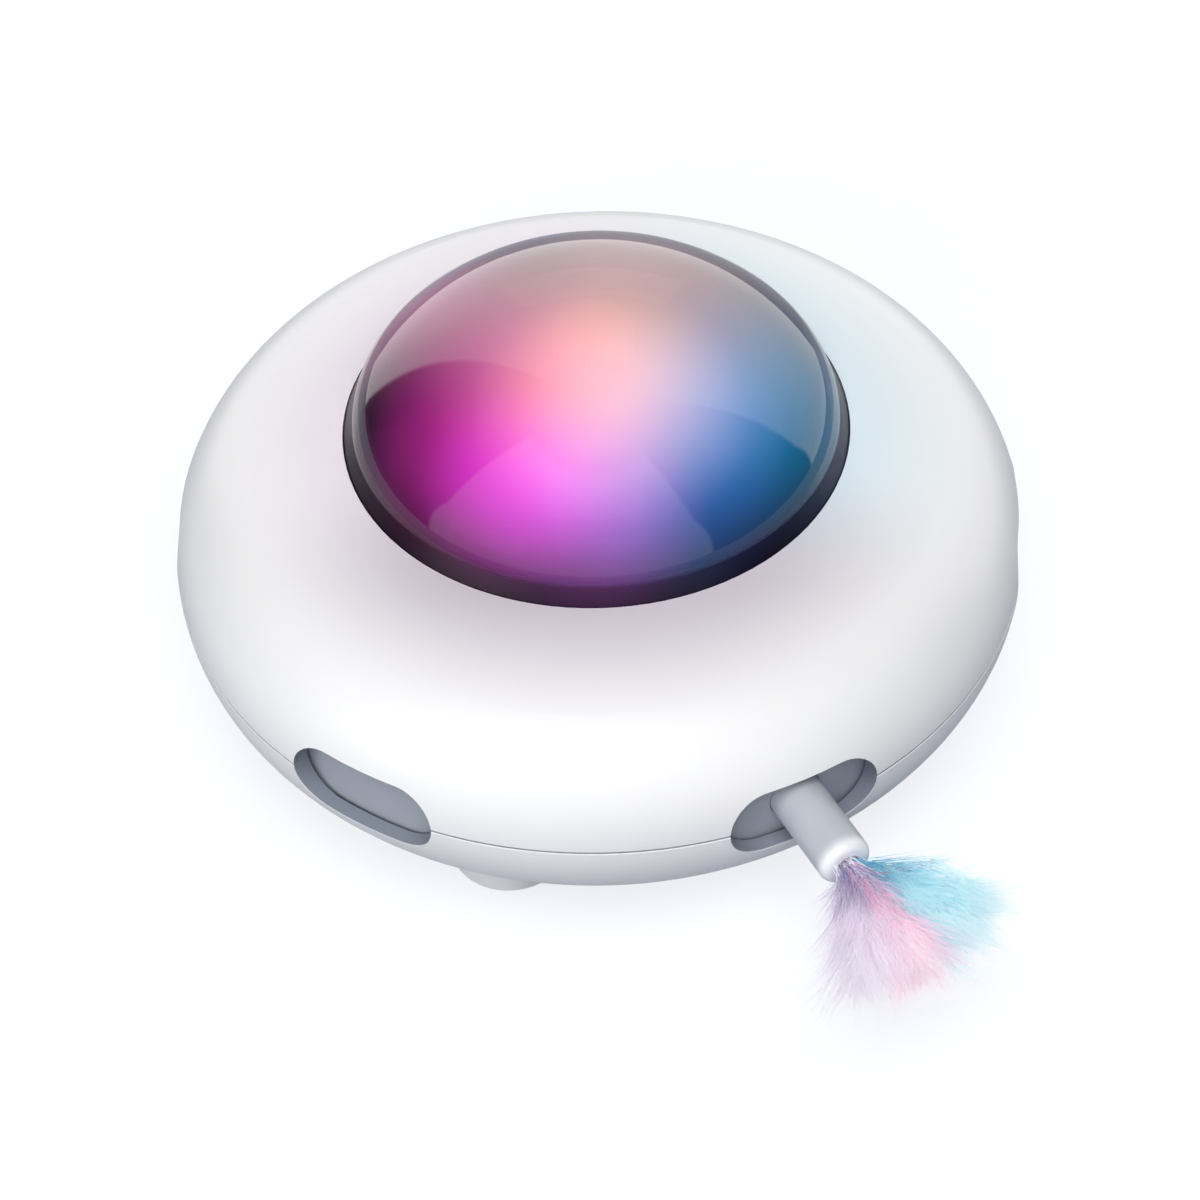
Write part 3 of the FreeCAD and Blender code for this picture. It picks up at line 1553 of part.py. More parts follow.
def make_screws():
    """The four sets of screws."""
    tray_places = circle_places(TRAY_SCREW_CIRCLE, S.tray_screw_count)
    column_places = circle_places(COLUMN_SCREW_CIRCLE, S.column_screw_count)
    column_seat = S.base_height + S.screw_head_height
    column_length = FLOOR_INSIDE + S.column_flange_thickness - column_seat
    full = S.screw_length
    return [
        screw_group("tray_screws", tray_places, S.tray_low, full, False),
        screw_group("column_screws", column_places, column_seat, column_length, False),
        screw_group("board_screws", board_screw_places(), MAIN_BOARD_TOP, full, True),
        screw_group("motor_screws", motor_screw_places(), DRIVE_MOTOR_TOP, full, True),
    ]


# ---------------------------------------------------------------- the whole toy


def make_toy():
    """Every sub-part of the toy."""
    parts = [make_top_shell(), make_base_shell(), make_smoked_dome(), make_light_tray()]
    parts += [make_light_board(), make_leds(), make_diffuser(), make_column()]
    parts += [make_foot(number) for number in range(1, int(S.foot_count.value) + 1)]
    parts += [make_laser_motor(), make_laser_turret()] + make_laser_module()
    parts += [make_drum(), make_ring_gear(), make_drive_pinion(), make_drive_motor()]
    parts += make_slip_board() + [make_brush_block()]
    parts += [make_feather_rod(), make_carriage(), make_rod_pinion(), make_rod_motor(), make_feather()]
    parts += [make_main_board(), make_charge_socket(), make_battery(), make_button(), make_switch()]
    return parts + make_screws()


def check_features():
    """Stops if any feature failed, or if a pad added nothing or a cut removed nothing."""
    for item in DOC.Objects:
        if "Invalid" in item.State or "Error" in item.State:
            raise RuntimeError(f"{item.Name} failed: {item.State}")
    for item in DOC.Objects:
        base = getattr(item, "BaseFeature", None)
        if base is None or not item.isDerivedFrom("PartDesign::Feature"):
            continue
        change = item.Shape.Volume - base.Shape.Volume
        adds = item.isDerivedFrom("PartDesign::Pad") or item.isDerivedFrom("PartDesign::Revolution")
        cuts = item.isDerivedFrom("PartDesign::Pocket") or item.isDerivedFrom("PartDesign::Groove")
        if (adds and change <= 0) or (cuts and change >= 0) or change == 0:
            raise RuntimeError(f"{item.Name} changed nothing")
        if not item.Shape.Solids or item.Shape.Volume < LEAST_SHARE_LEFT * base.Shape.Volume:
            raise RuntimeError(f"{item.Name} lost its solid")


def export(parts):
    """Writes one STEP file for each sub-part."""
    os.makedirs("parts", exist_ok=True)
    for item in parts:
        shape = item.Shape
        if shape.isNull() or not shape.isValid():
            raise RuntimeError(f"{item.Label} has no valid shape")
    for item in parts:
        item.Shape.exportStep(f"parts/{item.Label}.step")


PARTS = make_toy()
DOC.recompute()
check_features()
export(PARTS)
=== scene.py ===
import json
import math

import bmesh
import bpy
import numpy as np
from mathutils import Matrix, Vector


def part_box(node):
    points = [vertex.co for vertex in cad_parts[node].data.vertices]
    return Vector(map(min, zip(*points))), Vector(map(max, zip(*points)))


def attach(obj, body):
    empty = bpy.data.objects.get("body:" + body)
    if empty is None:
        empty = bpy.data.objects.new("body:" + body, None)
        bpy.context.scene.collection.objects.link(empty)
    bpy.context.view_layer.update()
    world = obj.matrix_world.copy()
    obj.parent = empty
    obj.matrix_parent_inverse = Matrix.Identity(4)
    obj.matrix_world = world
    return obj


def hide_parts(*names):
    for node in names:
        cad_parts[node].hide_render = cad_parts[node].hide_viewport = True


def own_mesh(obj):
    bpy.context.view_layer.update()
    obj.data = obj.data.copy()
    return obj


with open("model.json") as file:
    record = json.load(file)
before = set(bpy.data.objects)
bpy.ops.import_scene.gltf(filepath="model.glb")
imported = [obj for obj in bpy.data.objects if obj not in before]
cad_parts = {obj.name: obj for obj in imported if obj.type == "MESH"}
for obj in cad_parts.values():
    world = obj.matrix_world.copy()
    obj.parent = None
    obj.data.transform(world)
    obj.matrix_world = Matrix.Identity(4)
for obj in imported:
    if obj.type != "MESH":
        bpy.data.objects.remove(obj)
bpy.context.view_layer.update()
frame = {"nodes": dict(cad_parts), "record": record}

# Looks of a round cat toy: a glossy white housing, a smoked dome over coloured lamps, and a soft
# dyed plume on a rod. Metres. +Z is up, the floor is z = 0, and the rod points along -Y.

# ---------------------------------------------------------------- places taken from the frame

HOUSING_LOW, HOUSING_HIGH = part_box("top_shell")
DOME_LOW, DOME_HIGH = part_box("smoked_dome")
DIFFUSER_LOW, DIFFUSER_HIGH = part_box("light_diffuser")
SEAM_HEIGHT = float(HOUSING_LOW[2])
BODY_RADIUS = float(HOUSING_HIGH[0])
SEAT_HEIGHT = float(HOUSING_HIGH[2])
DOME_TOP = float(DOME_HIGH[2])
ROD_END = float(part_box("feather_rod")[0][1])
MIDDLE = Vector((0, 0, SEAM_HEIGHT))

# Azimuths are counted from -Y towards +X. The toy's front is about halfway between two slots, to
# the left of the rod's. The camera and the studio face it.
FRONT_AZIMUTH = math.radians(-26.2)
FRONT_WAY = (math.sin(FRONT_AZIMUTH), -math.cos(FRONT_AZIMUTH), 0.0)
RIGHT_WAY = (math.cos(FRONT_AZIMUTH), math.sin(FRONT_AZIMUTH), 0.0)


def new_object(name, data):
    """A new object in the scene that shows the given data."""
    item = bpy.data.objects.new(name, data)
    bpy.context.scene.collection.objects.link(item)
    return item


def unit_way(azimuth, elevation):
    """A unit direction: (sin a cos e, -cos a cos e, sin e) for an azimuth a and an elevation e."""
    level = math.cos(elevation)
    return np.array([math.sin(azimuth) * level, -math.cos(azimuth) * level, math.sin(elevation)])


# ---------------------------------------------------------------- camera

VIEW_ELEVATION = math.radians(45.18)
VIEW_DISTANCE = 9 * BODY_RADIUS
VIEW_LENS = 113.9
VIEW_LOWERED = math.radians(1.063)
VIEW_TURNED = math.radians(0.024)
VIEW_ROLL = -0.0312
SENSOR_WIDTH = 36
NEAREST_SEEN = 0.01


def make_camera():
    """A camera that looks at the middle of the housing, tipped a little lower and rolled."""
    right = Vector(RIGHT_WAY)
    back = Vector(unit_way(FRONT_AZIMUTH, VIEW_ELEVATION))
    facing = Matrix((right, back.cross(right), back)).transposed()
    tipped = Matrix.Rotation(-VIEW_LOWERED, 3, "X") @ Matrix.Rotation(VIEW_TURNED, 3, "Y")
    rolled = Matrix.Rotation(VIEW_ROLL, 3, "Z")
    data = bpy.data.cameras.new("camera")
    data.lens = VIEW_LENS
    data.sensor_width = SENSOR_WIDTH
    data.clip_start = NEAREST_SEEN
    camera = new_object("camera", data)
    place = MIDDLE + back * VIEW_DISTANCE
    camera.matrix_world = Matrix.Translation(place) @ (facing @ tipped @ rolled).to_4x4()
    bpy.context.scene.camera = camera


# ---------------------------------------------------------------- meshes

MERGED_WITHIN = 1e-6
NO_LENGTH = 1e-7
SHARP_EDGE = math.radians(12)


def mesh_object(name, points, faces):
    """A smooth mesh object from an array of points and a list of faces."""
    mesh = bpy.data.meshes.new(name)
    mesh.from_pydata(points.tolist(), [], faces)
    mesh.shade_smooth()
    mesh.update()
    return new_object(name, mesh)


def ring_faces(rows, columns):
    """Quads of a grid of rows that closes on itself along its columns."""
    row = np.arange(rows - 1)[:, None] * columns
    column = np.arange(columns)[None, :]
    following = (column + 1) % columns
    corners = [row + column, row + following, row + columns + following, row + columns + column]
    return np.stack(corners, axis=-1).reshape(-1, 4)


def turned(name, profile, columns):
    """A closed surface of revolution about the upright axis.

    Point (i, j) is (r_i cos a_j, r_i sin a_j, z_i), where (r_i, z_i) is the profile's i-th point
    and a_j runs once round. The profile's last point joins its first.
    """
    profile = np.vstack([profile, profile[:1]])
    angle = np.linspace(0, 2 * math.pi, columns, endpoint=False)
    radius = profile[:, 0][:, None]
    height = np.repeat(profile[:, 1][:, None], columns, axis=1)
    points = np.stack([radius * np.cos(angle), radius * np.sin(angle), height], axis=-1)
    faces = ring_faces(len(profile), columns)
    item = mesh_object(name, points.reshape(-1, 3), faces.tolist())
    work = bmesh.new()
    work.from_mesh(item.data)
    bmesh.ops.remove_doubles(work, verts=work.verts, dist=MERGED_WITHIN)
    bmesh.ops.dissolve_degenerate(work, edges=work.edges, dist=NO_LENGTH)
    bmesh.ops.recalc_face_normals(work, faces=work.faces)
    work.to_mesh(item.data)
    work.free()
    item.data.shade_smooth()
    item.data.set_sharp_from_angle(angle=SHARP_EDGE)
    return item


def arc_points(centre, radius, start, finish, steps):
    """Points on an arc: centre plus radius times (cos, sin) of angles from start to finish."""
    angle = np.linspace(start, finish, steps)
    return np.asarray(centre) + radius * np.stack([np.cos(angle), np.sin(angle)], axis=-1)


# ---------------------------------------------------------------- parts of materials

PLASTIC_IOR = 1.45
GLASS_IOR = 1.5
MOST_NOISE = (0.3, 0.7)  # between these lie most of a noise's values


def fill(item, inputs):
    """Gives a shader node's inputs their values, or links to them."""
    for name, value in inputs.items():
        if isinstance(value, bpy.types.NodeSocket):
            item.id_data.links.new(value, item.inputs[name])
        else:
            item.inputs[name].default_value = value


def node(tree, kind, inputs=None, **settings):
    """A shader node with settings and input values or links."""
    item = tree.nodes.new(kind)
    for name, value in settings.items():
        setattr(item, name, value)
    fill(item, inputs or {})
    return item


def new_material(name):
    """A node material, its tree, its surface shader and the place on the object."""
    material = bpy.data.materials.new(name)
    material.use_nodes = True
    tree = material.node_tree
    place = node(tree, "ShaderNodeTexCoord").outputs["Object"]
    return material, tree, tree.nodes["Principled BSDF"], place


def noise(tree, place, scale, detail=3.0, roughness=0.5):
    """A noise factor over the object."""
    values = {"Vector": place, "Scale": scale, "Detail": detail, "Roughness": roughness}
    return node(tree, "ShaderNodeTexNoise", values).outputs["Fac"]


def remap(tree, value, low, high, to_low, to_high, kind="LINEAR"):
    """A value carried from one range into another, and kept within it."""
    ranges = {"From Min": low, "From Max": high, "To Min": to_low, "To Max": to_high}
    values = {"Value": value, **ranges}
    return node(tree, "ShaderNodeMapRange", values, interpolation_type=kind).outputs["Result"]


def rising(tree, value, low, high):
    """0 up to low and 1 from high on, with a smooth step between."""
    return remap(tree, value, low, high, 0.0, 1.0, "SMOOTHSTEP")


def falling(tree, value, low, high):
    """1 up to low and 0 from high on, with a smooth step between."""
    return remap(tree, value, low, high, 1.0, 0.0, "SMOOTHSTEP")


def arithmetic(tree, operation, first, second):
    """One step of arithmetic."""
    return node(tree, "ShaderNodeMath", {0: first, 1: second}, operation=operation).outputs[0]


def times(tree, first, second):
    """The product of two values."""
    return arithmetic(tree, "MULTIPLY", first, second)


def larger(tree, first, second):
    """The larger of two values."""
    return arithmetic(tree, "MAXIMUM", first, second)


def measure(tree, operation, *vectors):
    """One number from vectors: their dot product, their distance or the length of one."""
    inputs = dict(enumerate(vectors))
    return node(tree, "ShaderNodeVectorMath", inputs, operation=operation).outputs["Value"]


def split(tree, vector):
    """The three parts of a vector."""
    return node(tree, "ShaderNodeSeparateXYZ", {0: vector}).outputs


def joined(tree, *parts):
    """A vector made of its parts; parts left out are 0."""
    return node(tree, "ShaderNodeCombineXYZ", dict(enumerate(parts))).outputs[0]


def level_part(tree, place):
    """A place without its height."""
    parts = split(tree, place)
    return joined(tree, parts[0], parts[1])


def blend_colour(tree, factor, first, second, mode="MIX"):
    """A mix of two colours."""
    inputs = {0: factor, 6: first, 7: second}
    return node(tree, "ShaderNodeMix", inputs, data_type="RGBA", blend_type=mode).outputs[2]


def colour(red, green, blue):
    """A colour with full cover."""
    return (red, green, blue, 1.0)


def shade(tone, factor):
    """A colour made darker or lighter."""
    return (tone[0] * factor, tone[1] * factor, tone[2] * factor, 1.0)


def mottled(tree, patches, tone, mottle):
    """A colour that is a share darker or lighter from patch to patch."""
    return blend_colour(tree, patches, shade(tone, 1 - mottle), shade(tone, 1 + mottle))


def relief(tree, shader, height, depth, strength=0.6):
    """Raises the surface by a pattern."""
    values = {"Height": height, "Strength": strength, "Distance": depth}
    fill(shader, {"Normal": node(tree, "ShaderNodeBump", values).outputs["Normal"]})


def grain(tree, shader, place, scale, depth, strength=0.4):
    """A fine moulded or worn grain in the surface."""
    height = noise(tree, place, scale, detail=4.0, roughness=0.6)
    relief(tree, shader, height, depth, strength)


def uneven(tree, shader, place, roughness, spread, scale):
    """Roughness that varies a little, as handled plastic does."""
    patches = noise(tree, place, scale, detail=5.0, roughness=0.6)
    rough = remap(tree, patches, *MOST_NOISE, roughness - spread, roughness + spread)
    fill(shader, {"Roughness": rough})


def moulded(name, tone, roughness, scale=900.0, depth=0.00002, mottle=0.05):
    """Moulded plastic: a faint mottle, uneven gloss and a fine grain."""
    material, tree, shader, place = new_material(name)
    patches = noise(tree, place, scale=60.0)
    fill(shader, {"Base Color": mottled(tree, patches, tone, mottle)})
    uneven(tree, shader, place, roughness, spread=roughness * 0.25, scale=140.0)
    grain(tree, shader, place, scale, depth)
    return material


# ---------------------------------------------------------------- white housing

WHITE = colour(0.83, 0.83, 0.835)
WHITE_MOTTLE = 0.01
WHITE_ROUGHNESS = (0.3, 0.36)
RECESS_PAINTED_SHADE = colour(0.235, 0.26, 0.31)
UPPER_SIDE_RADIUS = 0.0274
LOWER_SIDE_RADIUS = 0.0286
SKIN_DEPTH = 0.0001
INSIDE_DEPTH = 0.0002

# Painted light: the dome's coloured light on the white plastic round it. It fades with reach
# from the axis and below a height. From left to right, as shares of the body's radius, it turns
# from pink to blue, and towards the front it becomes a grey-lilac painted shade of the dome.
SPILL_PINK = colour(0.78, 0.71, 0.785)
SPILL_BLUE = colour(0.66, 0.77, 0.83)
# Painted shade in front of the dome: a grey-lilac tint, darker than the white.
FRONT_PAINTED_SHADE = colour(0.54, 0.49, 0.555)
SPILL_FULL_REACH = 0.052
SPILL_REACH = 0.087
SPILL_LOW = 0.05
SPILL_FULL_HEIGHT = 0.062
PINK_ENDS, BLUE_STARTS = -0.1, 0.4
SIDES_END, FRONT_STARTS = 0.12, 0.55


def depth_below_skin(tree, reach, height):
    """How far a point lies inside the housing's rounded side.

    The side's section is an arc of side_radius about a centre at the seam's height and at
    body_radius - side_radius from the axis, so the depth is side_radius less the distance to it.
    """
    rise = arithmetic(tree, "SUBTRACT", height, SEAM_HEIGHT)
    upper = arithmetic(tree, "GREATER_THAN", rise, 0.0)
    side = remap(tree, upper, 0.0, 1.0, LOWER_SIDE_RADIUS, UPPER_SIDE_RADIUS)
    out = arithmetic(tree, "SUBTRACT", reach, arithmetic(tree, "SUBTRACT", BODY_RADIUS, side))
    away = measure(tree, "LENGTH", joined(tree, out, rise))
    return arithmetic(tree, "SUBTRACT", side, away)


def share_of_radius(tree, flat, way):
    """How far a place reaches along a way, as a share of the body's radius."""
    return measure(tree, "DOT_PRODUCT", flat, tuple(part / BODY_RADIUS for part in way))


def glossy_white():
    """Glossy white housing plastic: painted grey shade inside, in its slots and seam, and the
    dome's painted light and shade round the dome.
    """
    material, tree, shader, place = new_material("glossy_white_plastic")
    height = split(tree, place)[2]
    flat = level_part(tree, place)
    reach = measure(tree, "LENGTH", flat)
    to_blue = rising(tree, share_of_radius(tree, flat, RIGHT_WAY), PINK_ENDS, BLUE_STARTS)
    # Painted light round the dome, pink at the left and blue at the right, and painted shade in
    # front of it.
    front_shade_share = rising(tree, share_of_radius(tree, flat, FRONT_WAY), SIDES_END, FRONT_STARTS)
    tint = blend_colour(tree, to_blue, SPILL_PINK, SPILL_BLUE)
    tint = blend_colour(tree, front_shade_share, tint, FRONT_PAINTED_SHADE)
    near_dome = falling(tree, reach, SPILL_FULL_REACH, SPILL_REACH)
    above = rising(tree, height, SPILL_LOW, SPILL_FULL_HEIGHT)
    patches = noise(tree, place, scale=25.0, detail=0.0)
    plastic = mottled(tree, patches, WHITE, WHITE_MOTTLE)
    spilled = blend_colour(tree, times(tree, near_dome, above), plastic, tint)
    # Painted shade: grey on all plastic deeper than the skin, in the slots, in the seam's groove
    # and inside.
    depth = depth_below_skin(tree, reach, height)
    inside = remap(tree, depth, SKIN_DEPTH, INSIDE_DEPTH, 0.0, 1.0)
    fill(
        shader,
        {
            "Base Color": blend_colour(tree, inside, spilled, RECESS_PAINTED_SHADE),
            "Roughness": remap(tree, patches, 0.0, 1.0, *WHITE_ROUGHNESS),
            "IOR": PLASTIC_IOR,
        },
    )
    grain(tree, shader, place, scale=2600.0, depth=0.000004, strength=0.2)
    return material


# ---------------------------------------------------------------- dome and lit cap

DOME_WALL = 0.002
SHOULDER_RADIUS = 0.0188
SHOULDER_REACH = 0.0528
SHOULDER_RISE = 0.0038
SHOULDER_HEIGHT = SEAT_HEIGHT + SHOULDER_RISE
CAP_RISE = DOME_TOP - SHOULDER_HEIGHT
CAP_FLATTER = 1.0825
CAP_RADIUS = (SHOULDER_REACH**2 / CAP_RISE + CAP_RISE) / 2 * CAP_FLATTER
CAP_CENTRE = DOME_TOP - CAP_RADIUS
SEAT_RADIUS = 0.055
SEAT_GAP = 0.0003
FLANGE_REACH = float(DOME_HIGH[0])
FLANGE_LOW = float(DOME_LOW[2])
FLANGE_THICK = 0.002
FLANGE_TOP = FLANGE_LOW + FLANGE_THICK
ARC_STEPS = 40
DOME_COLUMNS = 256

# Each lamp's light, painted as glow on the dome, its milky cap and the turret, and lit in the
# lamps'
# resin: how far right and how far back it stands, its reach and its colour.
LAMP_GLOWS = (
    (-0.026, -0.014, 0.041, colour(0.47, 0.01, 0.26)),
    (-0.033, -0.025, 0.0245, colour(0.38, 0.03, 0.43)),
    (-0.021, -0.039, 0.027, colour(0.28, 0.05, 0.36)),
    (-0.007, -0.022, 0.033, colour(0.41, 0.24, 0.03)),
    (-0.025, 0.027, 0.030, colour(0.25, 0.06, 0.14)),
    (-0.001, -0.035, 0.036, colour(0.03, 0.15, 0.50)),
    (0.026, -0.027, 0.037, colour(0.00, 0.16, 0.31)),
    (0.003, -0.004, 0.048, colour(0.52, 0.31, 0.30)),
    (-0.044, -0.004, 0.026, colour(0.05, 0.005, 0.04)),
)
GLOW_BASE = colour(0.006, 0.005, 0.012)
GLOW_EDGE_MARGIN = 0.005
CAP_GLOW_STRENGTH = 0.8
SKIN_GLOW_STRENGTH = 0.84
LAMP_GLOW_STRENGTH = 0.8
LAMP_TO_DOME = 0.02
MILK = (colour(0.10, 0.08, 0.10), colour(0.14, 0.11, 0.14))
SMOKE = (colour(0.045, 0.035, 0.042), colour(0.055, 0.045, 0.052))
POLISHED = (0.02, 0.03)

BAND_BELOW = SHOULDER_HEIGHT - 0.0002
BAND_ABOVE = SHOULDER_HEIGHT + 0.0008
BAND_ROUGHNESS = 0.35
BAND_DIMMING = colour(0.5, 0.35, 0.45)
BAND_SHEEN = colour(0.4, 0.3, 0.42)

LIT_CAP_RISE = 0.023
LIT_CAP_WALL = 0.0016
LIT_CAP_HOLE = 0.0023
LIT_CAP_COLUMNS = 192


def glow_spot(across, back):
    """The place on the dome's cap above a lamp: the cap's height is that of its arc there."""
    reach = min(math.hypot(across, back), SHOULDER_REACH - GLOW_EDGE_MARGIN)
    return (across, back, CAP_CENTRE + math.sqrt(CAP_RADIUS**2 - reach**2))


def glow_colour(tree, place):
    """The lamps' colours: each glow fades out with distance from its spot and they add up."""
    result = GLOW_BASE
    for across, back, reach, tone in LAMP_GLOWS:
        away = measure(tree, "DISTANCE", place, glow_spot(across, back))
        result = blend_colour(tree, falling(tree, away, 0.0, reach), result, tone, "ADD")
    return result


def lit_milky(name):
    """Milky plastic with the coloured light of the lamps behind it painted on it as glow."""
    material, tree, shader, place = new_material(name)
    patches = noise(tree, place, scale=80.0)
    fill(
        shader,
        {
            "Base Color": blend_colour(tree, patches, *MILK),
            "Emission Color": glow_colour(tree, place),
            "Emission Strength": CAP_GLOW_STRENGTH,
        },
    )
    uneven(tree, shader, place, roughness=0.5, spread=0.08, scale=120.0)
    grain(tree, shader, place, scale=800.0, depth=0.00001)
    return material


def smoked_clear():
    """Smoked dome plastic: a dark clear skin with the lamps' soft coloured light painted on it as
    glow.

    The skin is polished above its shoulder and satin on the band below it, where the painted glow
    is dimmer.
    """
    material, tree, shader, place = new_material("smoked_clear_plastic")
    patches = noise(tree, place, scale=30.0, detail=0.0)
    band = remap(tree, split(tree, place)[2], BAND_BELOW, BAND_ABOVE, 1.0, 0.0)
    # Painted light: the lamps' glow lies on the skin as emission. It is dimmed on the band as
    # painted shade, where a purple specular tint also dims the reflection.
    glow = glow_colour(tree, place)
    dimmed = blend_colour(tree, 1.0, glow, BAND_DIMMING, "MULTIPLY")
    satin = times(tree, band, BAND_ROUGHNESS)
    polished = remap(tree, patches, 0.0, 1.0, *POLISHED)
    fill(
        shader,
        {
            "Base Color": blend_colour(tree, patches, *SMOKE),
            "Roughness": larger(tree, satin, polished),
            "Specular Tint": blend_colour(tree, band, colour(1, 1, 1), BAND_SHEEN),
            "Emission Color": blend_colour(tree, band, glow, dimmed),
            "Emission Strength": SKIN_GLOW_STRENGTH,
            "Transmission Weight": 1.0,
            "IOR": PLASTIC_IOR,
        },
    )
    return material


def dome_curve(offset):
    """The dome's skin from its shoulder to its crown, moved in by offset.

    The cap's arc is centred on the axis. The shoulder's arc starts at the shoulder and touches the
    cap's arc from inside, so its centre lies one shoulder radius from the shoulder and
    cap radius - shoulder radius from the cap's centre. Both arcs meet on the line of the centres.
    """
    cap = np.array([0.0, CAP_CENTRE])
    start = np.array([SHOULDER_REACH, SHOULDER_HEIGHT])
    span = np.linalg.norm(start - cap)
    gap = CAP_RADIUS - SHOULDER_RADIUS
    along = (gap * gap - SHOULDER_RADIUS**2 + span * span) / (2 * span)
    aside = math.sqrt(gap * gap - along * along)
    way = (start - cap) / span
    shoulder = cap + along * way + aside * np.array([-way[1], way[0]])
    first = math.atan2(start[1] - shoulder[1], start[0] - shoulder[0])
    meeting = math.atan2(shoulder[1] - cap[1], shoulder[0] - cap[0])
    low = arc_points(shoulder, SHOULDER_RADIUS - offset, first, meeting, ARC_STEPS)
    high = arc_points(cap, CAP_RADIUS - offset, meeting, math.pi / 2, ARC_STEPS)
    return np.vstack([low, high[1:]])


def make_dome():
    """Smoked dome with its band and the flange that holds it under the housing's edge.

    Its section runs from the flange up the outside to the crown, and back down the inside.
    """
    reach = SEAT_RADIUS - SEAT_GAP
    inner = reach - DOME_WALL
    outside = dome_curve(0.0)
    inside = dome_curve(DOME_WALL)[::-1]
    band = np.array([[FLANGE_REACH, FLANGE_TOP], [reach, FLANGE_TOP], [reach, SEAT_HEIGHT]])
    inner_band = np.array([[inner, SEAT_HEIGHT], [inner, FLANGE_LOW], [FLANGE_REACH, FLANGE_LOW]])
    profile = np.vstack([band, outside, inside, inner_band])
    dome = turned("dome_skin", profile, DOME_COLUMNS)
    dome.data.materials.append(smoked_clear())
    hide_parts("smoked_dome")
    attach(dome, "housing")


def make_lit_cap():
    """Milky cap over the lamps: a shallow ball section with a small hole for the laser's shaft.

    A ball through a foot circle of radius a, with rise h, has the radius (a^2 + h^2) / 2h.
    """
    reach = float(DIFFUSER_HIGH[0])
    low = float(DIFFUSER_LOW[2])
    ball = (reach * reach + LIT_CAP_RISE**2) / (2 * LIT_CAP_RISE)
    centre = (0.0, low + LIT_CAP_RISE - ball)
    foot = math.atan2(low - centre[1], reach)
    outer = arc_points(centre, ball, foot, math.acos(LIT_CAP_HOLE / ball), ARC_STEPS)
    thin = ball - LIT_CAP_WALL
    inner_foot = math.asin((low - centre[1]) / thin)
    inner = arc_points(centre, thin, math.acos(LIT_CAP_HOLE / thin), inner_foot, ARC_STEPS)
    cap = turned("milky_cap", np.vstack([outer, inner]), LIT_CAP_COLUMNS)
    cap.data.materials.append(lit_milky("milky_lit_plastic"))
    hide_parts("light_diffuser")
    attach(cap, "housing")


# ---------------------------------------------------------------- plume

# One dye's tones at the root, in the middle and at the tip.
PLUME_DYES = {
    "sky": (colour(0.11, 0.40, 0.58), colour(0.42, 0.80, 0.90), colour(0.93, 0.98, 0.99)),
    "rose": (colour(0.33, 0.20, 0.43), colour(0.96, 0.56, 0.74), colour(0.97, 0.90, 0.94)),
    "lilac": (colour(0.22, 0.18, 0.42), colour(0.80, 0.70, 0.85), colour(0.95, 0.93, 0.96)),
}
BARE_SHAFT_DYE = colour(0.80, 0.79, 0.90)

# Each tuft: its dye, the seed of its chance, its two edge angles in the fan and its locks.
FAN_HALF_ANGLE = math.radians(38)
TUFTS = (
    ("lilac", 11, -FAN_HALF_ANGLE * 0.8, -0.03, 250),
    ("rose", 12, -0.15, 0.13, 200),
    ("sky", 13, 0.2, FAN_HALF_ANGLE * 1.12, 250),
)

# The plume's thickness is less at its tips, which pass the drum's hole when the rod is in.
PLUME_HALF_THICK = 0.0084
PLUME_TIP_HALF_THICK = 0.0052
PLUME_FULL_REACH = 0.027
PLUME_TAPER = 0.008

# A wisp's rings, how much thinner it is at its tip, and a way that no wisp takes.
WISP_RINGS = 8
WISP_THINNING = 0.85
NO_WISP_WAY = np.array([0.0, 0.3, 1.0])
WISP_WIDTHS = (0.00005, 0.00013)

# What the wisps of a lock share, and how far each strays from it. Angles are in radians.
LOCK_WISPS = 12
LOCK_STARTS = (0.02, 1.0)
LOCK_START_POWER = 0.75
LOCK_LIFT, WISP_LIFT = 0.14, 0.04
LOCK_SPLAYS = (0.08, 0.55)
LOCK_CURL, WISP_CURL = 0.22, 0.12
LOCK_LENGTHS, WISP_LENGTH = (0.009, 0.0175), 0.001
WISP_TURN = 0.03
WISP_TONE = 0.08
WISP_ROOT = 0.00045
WISP_ROOT_LIFT = 0.12
ROOT_DEPTH = 0.002
SHAFT_LENGTH = 0.027
SPLAY_AT_ROOT = 0.6
SPLAY_AT_TIP = 1.1
SPLAY_BEND = 0.7
LENGTH_AT_ROOT, LENGTH_LOST = 1.05, 0.25

# The bare shafts, told from the other wisps by their tone.
BARE_SHAFTS = 22
BARE_TONE = -0.5
BARE_ROOT = 0.0009
BARE_BEND = 0.15
BARE_LENGTHS = (0.010, 0.020)
BARE_WIDTHS = (0.00012, 0.0002)

# How the dye changes with distance from the rod's end, in metres, and with the lock's own tone.
DEEP_DYE_ENDS = (0.004, 0.021)
DEEP_DYE_TONES = (0.0, 0.4)
PALE_DYE_REACH = (0.010, 0.044)
PALE_BY_REACH, PALE_BY_WISP = 0.85, 0.15
DYE_LINE_STRAY = 0.006
STRONG_DYE_TONES = (0.55, 1.0)
STRONG_DYE_SHARE = 0.5
STRONG_DYE_SHADE = 0.85


